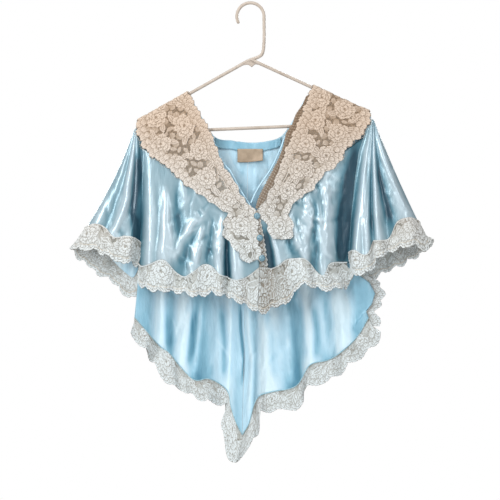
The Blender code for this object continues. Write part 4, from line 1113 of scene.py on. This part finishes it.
def cord_tree():
    """A round cord along a line, with a slow swell like a thread wound over it."""
    tree, given = nodes_tree("cord along a line", {"Step": 0.0015, "Radius": 0.0009, "Swell": 0.15})
    line = add(tree, "GeometryNodeMeshToCurve", None, {"Mesh": given["Geometry"]})
    even = add(tree, "GeometryNodeResampleCurve", {"mode": "LENGTH"},
               {"Curve": line.outputs["Curve"], "Length": given["Step"]})
    count = add(tree, "GeometryNodeInputIndex")
    beat = add(tree, "ShaderNodeMath", {"operation": "MULTIPLY"}, {0: count.outputs[0], 1: 1.9})
    wave = add(tree, "ShaderNodeMath", {"operation": "SINE"}, {0: beat.outputs[0]})
    swell = add(tree, "ShaderNodeMath", {"operation": "MULTIPLY_ADD"}, {0: wave.outputs[0], 1: given["Swell"], 2: 1.0})
    radius = add(tree, "GeometryNodeSetCurveRadius", None,
                 {"Curve": even.outputs["Curve"], "Radius": swell.outputs[0]})
    ring = add(tree, "GeometryNodeCurvePrimitiveCircle", None, {"Resolution": 6, "Radius": given["Radius"]})
    round_cord = add(tree, "GeometryNodeCurveToMesh", None,
                     {"Curve": radius.outputs[0], "Profile Curve": ring.outputs[0], "Fill Caps": True})
    smooth_cord = add(tree, "GeometryNodeSetShadeSmooth", None, {"Geometry": round_cord.outputs[0]})
    real = add(tree, "GeometryNodeRealizeInstances", None, {"Geometry": smooth_cord.outputs[0]})
    shown = add(tree, "GeometryNodeSetMaterial", None, {"Geometry": real.outputs[0], "Material": given["Material"]})
    add(tree, "NodeGroupOutput", None, {"Geometry": shown.outputs[0]})
    return tree


def grown_along(name, lines, tree, surface, **sizes):
    """Run a geometry tree over lines of points (millimetres) and keep the result as a plain mesh."""
    verts, edges = [], []
    for line in lines:
        edges += [(len(verts) + k, len(verts) + k + 1) for k in range(len(line) - 1)]
        verts += (np.asarray(line) * MM).tolist()
    mesh = bpy.data.meshes.new(name)
    mesh.from_pydata(verts, edges, [])
    piece = in_scene(name, mesh)
    grown = piece.modifiers.new("grown", "NODES")
    grown.node_group = tree
    for item in tree.interface.items_tree:
        if item.in_out == "INPUT" and item.name in sizes:
            grown[item.identifier] = sizes[item.name]
        elif item.in_out == "INPUT" and item.name == "Material":
            grown[item.identifier] = surface
    bpy.context.view_layer.update()
    made = bpy.data.meshes.new_from_object(piece.evaluated_get(bpy.context.evaluated_depsgraph_get()))
    piece.modifiers.clear()
    piece.data = made
    return piece


def linear(hex_value):
    """An sRGB hex colour as linear red, green, blue and alpha."""
    parts = [int(hex_value[i:i + 2], 16) / 255 for i in (1, 3, 5)]
    return (*[c / 12.92 if c <= 0.04045 else ((c + 0.055) / 1.055) ** 2.4 for c in parts], 1.0)


def finish(name, **sockets):
    """A material with these values on its surface shader, its nodes and the shader."""
    made = bpy.data.materials.new(name)
    made.use_nodes = True
    shader = made.node_tree.nodes["Principled BSDF"]
    for key, value in sockets.items():
        shader.inputs[key.replace("_", " ")].default_value = value
    return made, made.node_tree, shader


def satin_finish(name, dye_and_fold_shade, roughness, gloss, sheen, metallic, rumpled=0.003):
    """Satin dyed pale blue, with painted shade in its folds and painted highlight on their crests, both set by the
    fold attribute.
    """
    made, tree, shader = finish(name, Roughness=roughness, Metallic=metallic, Sheen_Weight=sheen,
                                Sheen_Roughness=0.4, Sheen_Tint=linear("#DCEFF6"), Specular_IOR_Level=gloss)
    fold = add(tree, "ShaderNodeAttribute", {"attribute_name": "fold"})
    place = add(tree, "ShaderNodeTexCoord")
    uneven = add(tree, "ShaderNodeMapping", None, {"Vector": place.outputs["Object"], "Scale": (70, 70, 26)})
    pull = add(tree, "ShaderNodeTexNoise", None, {"Vector": uneven.outputs[0], "Scale": 1.0, "Detail": 3.0})
    cloudy = add(tree, "ShaderNodeMath", {"operation": "MULTIPLY_ADD"}, {0: pull.outputs[0], 1: 0.5, 2: -0.25})
    level = add(tree, "ShaderNodeMath", {"operation": "ADD"}, {0: fold.outputs["Fac"], 1: cloudy.outputs[0]})
    tone = add(tree, "ShaderNodeMapRange", None, {"Value": level.outputs[0], "From Min": -1.0, "From Max": 1.0})
    # The ramp runs from painted shade in deep folds, through the pale blue dye, to painted highlight on the crests
    dye_and_shade_ramp = add(tree, "ShaderNodeValToRGB", None, {"Fac": tone.outputs[0]})
    ramp = dye_and_shade_ramp.color_ramp
    for stop, (place_at, colour) in enumerate(dye_and_fold_shade):
        stop_made = ramp.elements[stop] if stop < 2 else ramp.elements.new(place_at)
        stop_made.position, stop_made.color = place_at, linear(colour)
    tree.links.new(dye_and_shade_ramp.outputs["Color"], shader.inputs["Base Color"])
    weave = add(tree, "ShaderNodeTexWave", {"wave_type": "BANDS", "bands_direction": "X"},
                {"Vector": place.outputs["UV"], "Scale": 300.0, "Distortion": 0.6})
    small = add(tree, "ShaderNodeBump", None, {"Height": weave.outputs[1], "Strength": 0.04, "Distance": 0.0003})
    bump = add(tree, "ShaderNodeBump", None,
               {"Height": pull.outputs[0], "Strength": 0.45, "Distance": rumpled, "Normal": small.outputs[0]})
    tree.links.new(bump.outputs[0], shader.inputs["Normal"])
    return made


def cotton_lace():
    """Ivory cotton lace, warmer at the shoulders and whiter and bluer at the hems, partly ageing and partly painted
    light: matt corded work, paler where it stands high and darker over the net, partly thinner thread and partly
    painted shade.
    """
    made, tree, shader = finish("cotton_lace_ivory", Roughness=0.85, Sheen_Weight=0.1, Specular_IOR_Level=0.3)
    relief = add(tree, "ShaderNodeAttribute", {"attribute_name": "relief"})
    painted_shade = add(tree, "ShaderNodeAttribute", {"attribute_name": "painted_shade"})
    place = add(tree, "ShaderNodeTexCoord")
    parts = add(tree, "ShaderNodeSeparateXYZ", None, {"Vector": place.outputs["Object"]})
    # height_tint: warm towards the shoulders, whiter and bluer towards the hems; partly ageing, partly painted light
    height_tint = add(tree, "ShaderNodeMapRange", None, {"Value": parts.outputs["Z"], "From Min": -0.48, "From Max": -0.22})
    raised, net, shade = [
        add(tree, "ShaderNodeMix", {"data_type": "RGBA"},
            {"Factor": height_tint.outputs[0], "A": linear(low), "B": linear(high)}).outputs["Result"]
        for low, high in (("#D9E1E3", "#CDBAA8"), ("#9D9F99", "#99836D"), ("#7A6F60", "#745F4B"))]
    # Paler where the work stands high and darker over the low net: partly the net's thinner thread, partly painted
    # shade
    tone = add(tree, "ShaderNodeMapRange", None, {"Value": relief.outputs["Fac"], "From Min": 0.0, "From Max": 0.7})
    thread = add(tree, "ShaderNodeMix", {"data_type": "RGBA"},
                 {"Factor": tone.outputs[0], "A": net, "B": raised})
    # Painted shade in the hollows of the work, in the folds of the hem lace and on the rolled neck edge
    shaded_thread = add(tree, "ShaderNodeMix", {"data_type": "RGBA"},
               {"Factor": painted_shade.outputs["Fac"], "A": thread.outputs["Result"], "B": shade})
    tree.links.new(shaded_thread.outputs["Result"], shader.inputs["Base Color"])
    twist = add(tree, "ShaderNodeTexWave", {"wave_type": "BANDS", "bands_direction": "DIAGONAL"},
                {"Vector": place.outputs["UV"], "Scale": 260.0, "Distortion": 2.0})
    bump = add(tree, "ShaderNodeBump", None, {"Height": twist.outputs[1], "Strength": 0.25, "Distance": 0.0004})
    tree.links.new(bump.outputs[0], shader.inputs["Normal"])
    return made


def two_toned(name, tones, cloud_size, grain, **sockets):
    """A material of two close tones that drift into each other, with a fine grain.

    cloud_size: millimetres from one tone to the next; grain: the texture node that makes it, its
    settings, the coordinates it lies in, its scale and how deep it is in millimetres
    """
    kind, settings, lies_in, scale, deep = grain
    made, tree, shader = finish(name, **sockets)
    place = add(tree, "ShaderNodeTexCoord")
    cloud = add(tree, "ShaderNodeTexNoise", None,
                {"Vector": place.outputs["Object"], "Scale": 1 / (cloud_size * MM), "Detail": 3.0})
    fine = add(tree, kind, settings, {"Vector": place.outputs[lies_in], "Scale": scale})
    drift = add(tree, "ShaderNodeMath", {"operation": "MULTIPLY_ADD"}, {0: fine.outputs[1], 1: 0.3, 2: -0.15})
    level = add(tree, "ShaderNodeMath", {"operation": "ADD"}, {0: cloud.outputs[0], 1: drift.outputs[0]})
    spread = add(tree, "ShaderNodeMapRange", None, {"Value": level.outputs[0], "From Min": 0.3, "From Max": 0.7})
    colour = add(tree, "ShaderNodeMix", {"data_type": "RGBA"},
                 {"Factor": spread.outputs[0], "A": linear(tones[0]), "B": linear(tones[1])})
    tree.links.new(colour.outputs["Result"], shader.inputs["Base Color"])
    bump = add(tree, "ShaderNodeBump", None, {"Height": fine.outputs[1], "Strength": 0.5, "Distance": deep * MM})
    tree.links.new(bump.outputs[0], shader.inputs["Normal"])
    return made


def smooth_copy(node, name, surface):
    """A smooth copy of a solid's mesh, its loose triangles joined."""
    made = bmesh.new()
    made.from_mesh(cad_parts[node].data)
    bmesh.ops.remove_doubles(made, verts=made.verts, dist=0.00002)
    mesh = bpy.data.meshes.new(name)
    made.to_mesh(mesh)
    made.free()
    mesh.shade_smooth()
    mesh.materials.clear()
    mesh.materials.append(surface)
    return dressed_as(in_scene(name, mesh), node)


def rounded(corners, radius, steps):
    """An open path through its corners, each turned on a soft arc."""
    path = [corners[0]]
    for before, here, after in zip(corners, corners[1:], corners[2:]):
        here = np.array(here, float)
        back, on = np.array(before) - here, np.array(after) - here
        back, on = back / np.linalg.norm(back), on / np.linalg.norm(on)
        reach = radius / math.tan(math.acos(np.clip(back @ on, -1, 1)) / 2)
        start, end = here + back * reach, here + on * reach
        path += [start * (1 - k) ** 2 + here * (2 * k * (1 - k)) + end * k * k for k in np.linspace(0, 1, steps)]
    return np.array(path + [corners[-1]], float)


def bent_tube(path, radius):
    """A closed round tube along a path, with domed ends."""
    run = along(path)
    steps = np.linspace(0, run[-1], round(run[-1] / TUBE_STEP))
    path = np.stack([np.interp(steps, run, path[:, k]) for k in range(3)], axis=-1)
    ahead = np.gradient(path, axis=0)
    ahead /= np.linalg.norm(ahead, axis=1, keepdims=True)
    side = np.cross(ahead, (0.0, 1.0, 0.0))
    side /= np.linalg.norm(side, axis=1, keepdims=True)
    turn = np.linspace(0, 2 * math.pi, TUBE_SIDES, endpoint=False)
    rings = []
    for cap in (-1, 1):
        end = 0 if cap < 0 else -1
        dome = [(math.sin(a), math.cos(a)) for a in np.linspace(1.45, 0.0, 5)[:-1]]
        shells = [(path[end] + cap * ahead[end] * radius * out, radius * rise, side[end]) for out, rise in dome]
        rings += shells if cap < 0 else [(p, radius, s) for p, s in zip(path, side)] + shells[::-1]
    verts = np.concatenate([p + size * (np.outer(np.cos(turn), s) + np.outer(np.sin(turn), (0, 1, 0)))
                            for p, size, s in rings])
    index = np.arange(len(verts)).reshape(len(rings), TUBE_SIDES)
    around = np.roll(index, -1, axis=1)
    quads = np.stack([index[:-1], index[1:], around[1:], around[:-1]], axis=-1).reshape(-1, 4)
    return verts, quads, [index[0].tolist(), index[-1][::-1].tolist()]


def web_plate():
    """The flat web and its nub in the fork below the hook: a plate with a rounded lower edge."""
    x = np.linspace(-WEB_REACH, WEB_REACH, 41)
    upper = arm_drop(x + APEX_X) + 1.0
    lower = upper + 2.2 + WEB_DROP * np.exp(-(x / 9.0) ** 2) + NUB_DROP * np.exp(-((x - 2.0) / 4.0) ** 2)
    v = np.linspace(0, 1, 9)[:, None]
    grid = np.stack([np.tile(x + APEX_X, (9, 1)), np.zeros((9, 41)), -(upper + (lower - upper) * v)], axis=-1)
    half = 1.7 * np.sqrt(np.clip(1 - v ** 6, 0.05, 1)) * np.sqrt(np.clip(1 - (x / WEB_REACH) ** 6, 0.05, 1))
    face, back = grid.copy(), grid.copy()
    face[..., 1] -= half
    back[..., 1] += half
    return face, back


def tube_hanger():
    """The hanger as it is made: one bent tube from the tip of the hook round to the end of the last arm."""
    tilt = math.tan(HANGER_TILT)
    hook = [(HOOK_X + HOOK_RADIUS * math.cos(a), 0, HOOK_Z + HOOK_RADIUS * math.sin(a))
            for a in np.radians(np.linspace(HOOK_TURN, 0, 40))]
    corners = [(x, y, -drop) for x, y, drop in HOOK_NECK]
    ends = [(x, 0.0, -arm_drop(x)) for x in (ARM_END["right"], ARM_END["left"])]
    bar = [(x, 0.0, -BAR_DROP + x * tilt) for x in (BAR_END["right"], BAR_END["left"])]
    neck = smooth(np.array([hook[-1]] + corners), np.linspace(0, len(corners), 30))
    last = rounded([tuple(neck[-1]), ends[0], bar[0], bar[1], ends[1], (APEX_X + 3, -1.6, -arm_drop(APEX_X + 3))],
                   CORNER_RADIUS, 8)
    verts, quads, caps = bent_tube(np.concatenate([hook, neck[1:], last[1:]]), TUBE_RADIUS)
    face, back = web_plate()
    plate = pierced_mesh("web", face, back, 1, np.ones((8, 40), bool), np.zeros((9, 41, 2)), {})
    mesh = bpy.data.meshes.new("moulded_hanger")
    mesh.from_pydata((verts * MM).tolist(), [], quads.tolist() + caps)
    both = bmesh.new()
    both.from_mesh(mesh)
    both.from_mesh(plate.data)
    bmesh.ops.recalc_face_normals(both, faces=both.faces)
    both.to_mesh(mesh)
    both.free()
    bpy.data.objects.remove(plate)
    mesh.shade_smooth()
    mesh.materials.append(PLASTIC)
    return dressed_as(in_scene("moulded_hanger", mesh), "hanger")


def soft_light(name, place, aim, size, power):
    """A white softbox of this size in metres, turned to its aim."""
    lamp = bpy.data.lights.new(name, "AREA")
    lamp.shape = "RECTANGLE"
    lamp.size, lamp.size_y = size
    lamp.energy = power
    holder = in_scene(name, lamp)
    holder.location = place
    holder.rotation_euler = (Vector(aim) - Vector(place)).to_track_quat("-Z", "Y").to_euler()


# Acetate satin: long floating threads on its face give soft, bright streaks along the folds
# Its ramp paints shade into the folds with the dark teal stops and paints highlight onto the crests with the palest
# stop
SATIN = satin_finish("acetate_satin_face", ((0.0, "#073B4E"), (0.8, "#BBCFD9"), (0.25, "#44788A"), (0.5, "#8AA8B4")),
                     0.32, 0.9, 0.1, 0.22)
# The wrong side of the same cloth has no floats, so it is matt and looks paler and bluer
# Its ramp also paints shade into the folds and highlight onto the crests; its paler, bluer stops are partly the matt
# wrong side and partly painted light
SATIN_BACK = satin_finish("acetate_satin_wrong_side",
                          ((0.0, "#4A86A0"), (0.8, "#D6EDF7"), (0.25, "#86B8CE"), (0.5, "#B6DAEC")),
                          0.38, 0.65, 0.3, 0.1, rumpled=0.008)
LACE = cotton_lace()
RIBS = ("ShaderNodeTexWave", {"wave_type": "BANDS", "bands_direction": "X"}, "UV")
TWIST = ("ShaderNodeTexWave", {"wave_type": "BANDS", "bands_direction": "DIAGONAL"}, "Object")
PITTED = ("ShaderNodeTexNoise", {"noise_dimensions": "3D"}, "Object")
# Woven rayon label: fine upright ribs 0.8 mm apart, a little shiny
LABEL = two_toned("woven_label_beige", ("#8E7B66", "#B39F88"), 14.0, (*RIBS, 390.0, 0.12), Roughness=0.55)
# Cotton sewing thread: two plies whose twist shows as slanting bands, drawn 1 mm long, twice the real ones
THREAD = two_toned("sewing_thread_blue", ("#86B0BF", "#A8CEDA"), 6.0, (*TWIST, 310.0, 0.08), Roughness=0.7)
LACE_THREAD = two_toned("sewing_thread_ivory", ("#C3BBAD", "#DAD4C9"), 6.0, (*TWIST, 310.0, 0.08), Roughness=0.8)
# Moulded plastic buttons: pearly swirls under a clear coat
PEARL = two_toned("pearl_plastic_blue", ("#4A7388", "#86A9B6"), 2.5, (*PITTED, 500.0, 0.03), Roughness=0.22,
                  Coat_Weight=0.6)
# Moulded polypropylene: cream, slightly glossy, clouded where the melt flowed, with a faint orange-peel skin
PLASTIC = two_toned("polypropylene_cream", ("#B0A396", "#C2B6AA"), 22.0, (*PITTED, 700.0, 0.05), Roughness=0.38)

# The cloth
grids, hems, satins, laces = {}, {}, {}, {}
for side in ("right", "left"):
    for part in ("front", "back", "sleeve"):
        satins[part, side], grids[part, side] = satin_piece(part, side)
        laces[part, side], hems[part, side] = hem_lace(part, side)
    tree = tree_of([grids["front", side], grids["sleeve", side]])
    laces["yoke", side], hems["yoke", side] = yoke_lace(side, tree)
roll, roll_grid = band_lace()
laces["side", "left"], hems["side", "left"] = side_lace()
laces["edge", "left"], hems["edge", "left"] = front_edge_lace(grids["front", "left"])
facing, facing_grid = neck_trim([grids["back", "right"], grids["back", "left"]])
label, label_grid = woven_label()

# Sewing and cords
STITCHES, CORDS = stitch_tree(), cord_tree()
gimp_lines = [hem[-GIMP_ROW] + np.array([0, 1.6, 0]) * (1 if key[0] == "back" else -1)
              for key, hem in hems.items() if key[0] in ("front", "back", "sleeve")]
edge_cord = grown_along("lace_edge_cord", gimp_lines, CORDS, LACE_THREAD, Radius=0.0006)
hem_tops = [hem[1] - np.array([0, 0.9, 0]) * (1 if key[0] != "back" else -1)
            for key, hem in hems.items() if key[0] in ("front", "back", "sleeve")]
hem_tops += [hem[6:, -2] - np.array([0, 0.9, 0]) for key, hem in hems.items() if key[0] == "yoke"]
lace_stitches = grown_along("lace_stitches", hem_tops, STITCHES, LACE_THREAD, Spacing=0.0035, Length=0.003)
seams = [facing_grid[-2] - np.array([0, 0.7, 0])]
seams += [grids["back", side][2:, 1] + np.array([0, 0.5, 0]) for side in ("right", "left")]
seam_stitches = grown_along("seam_stitches", seams, STITCHES, THREAD, Spacing=0.003, Length=0.0022, Slant=0.0)

bindings = []
for line in BINDING.values():
    places = np.array(line, float)
    places = smooth(places, np.linspace(0, len(places) - 1, 40))
    depth = base_depth(places[:, 0], places[:, 1], -1) + 2 * BINDING_RADIUS
    bindings.append(np.stack([places[:, 0], depth, -places[:, 1]], axis=-1))
neck_binding = grown_along("neck_binding_satin", bindings, CORDS, SATIN_BACK, Radius=BINDING_RADIUS * MM, Swell=0.05)
serging = grown_along("back_serged_edge", [grids["back", side][-1] - np.array([0, 0.5, 0]) for side in ("right", "left")],
                      CORDS, THREAD, Radius=0.0009, Swell=0.3)

loops, buttons = [], []
for number, place in enumerate(BUTTONS, 1):
    low, high = [np.array(v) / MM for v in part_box(f"button_{number}")]
    turn = np.linspace(0.6 * math.pi, 1.4 * math.pi, 22)
    loops.append(np.stack([place.x + 6.6 * np.cos(turn), np.full(22, high[1] - 1.2), -place.drop + 6.6 * np.sin(turn)],
                          axis=-1))
    buttons.append(smooth_copy(f"button_{number}", f"pearl_button_{number}", PEARL))
button_loops = grown_along("button_loops", loops, CORDS, LACE_THREAD, Radius=0.0006)
hanger = tube_hanger()

dressed = list(satins.values()) + list(laces.values()) + [roll, facing, label, edge_cord, lace_stitches,
                                                         seam_stitches, button_loops, hanger, neck_binding, serging] + buttons
for piece in dressed:
    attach(piece, "root")


# Floor, light and camera
floor_mesh = bpy.data.meshes.new("floor")
floor_mesh.from_pydata([(-3, -3, -1.6), (3, -3, -1.6), (3, 3, -1.6), (-3, 3, -1.6)], [], [(0, 1, 2, 3)])
FLOOR, _, _ = finish("studio_floor_white", Base_Color=linear("#EDEDED"), Roughness=0.9)
floor_mesh.materials.append(FLOOR)
floor = bpy.data.objects.new("floor", floor_mesh)
bpy.context.scene.collection.objects.link(floor)

world = bpy.data.worlds.new("studio")
bpy.context.scene.world = world
world.use_nodes = True
room = world.node_tree
room.nodes.clear()
seen = add(room, "ShaderNodeLightPath")
strength = add(room, "ShaderNodeMapRange", None, {"Value": seen.outputs["Is Camera Ray"], "To Min": 0.27, "To Max": 1.0})
glow = add(room, "ShaderNodeBackground", None, {"Color": linear("#FFFFFF"), "Strength": strength.outputs[0]})
add(room, "ShaderNodeOutputWorld", None, {"Surface": glow.outputs[0]})

soft_light("left_softbox", (-1.3, -1.7, 0.4), (0, 0, -0.42), (0.5, 1.5), 30)
soft_light("right_softbox", (1.3, -1.7, 0.4), (0, 0, -0.42), (0.4, 1.5), 11)
soft_light("top_softbox", (-0.2, -1.0, 1.3), (0, 0, -0.4), (1.0, 0.6), 16)
soft_light("front_fill", (0.1, -2.3, -0.9), (0, 0, -0.55), (1.6, 0.8), 6)
soft_light("rear_softbox", (0.6, 1.8, 0.6), (0, 0, -0.42), (1.0, 1.0), 30)
soft_light("rear_strip", (-1.2, 1.7, 0.1), (0, 0, -0.42), (0.4, 1.5), 22)

lens = bpy.data.cameras.new("camera")
lens.lens = 100
eye = bpy.data.objects.new("camera", lens)
bpy.context.scene.collection.objects.link(eye)
distance = 500 * 1.83 * MM * lens.lens / lens.sensor_width
eye.location = (-0.0018, -distance - 0.015, -0.452)
eye.rotation_euler = (math.radians(90), 0, 0)
bpy.context.scene.camera = eye
bpy.context.scene.view_settings.view_transform = "Standard"
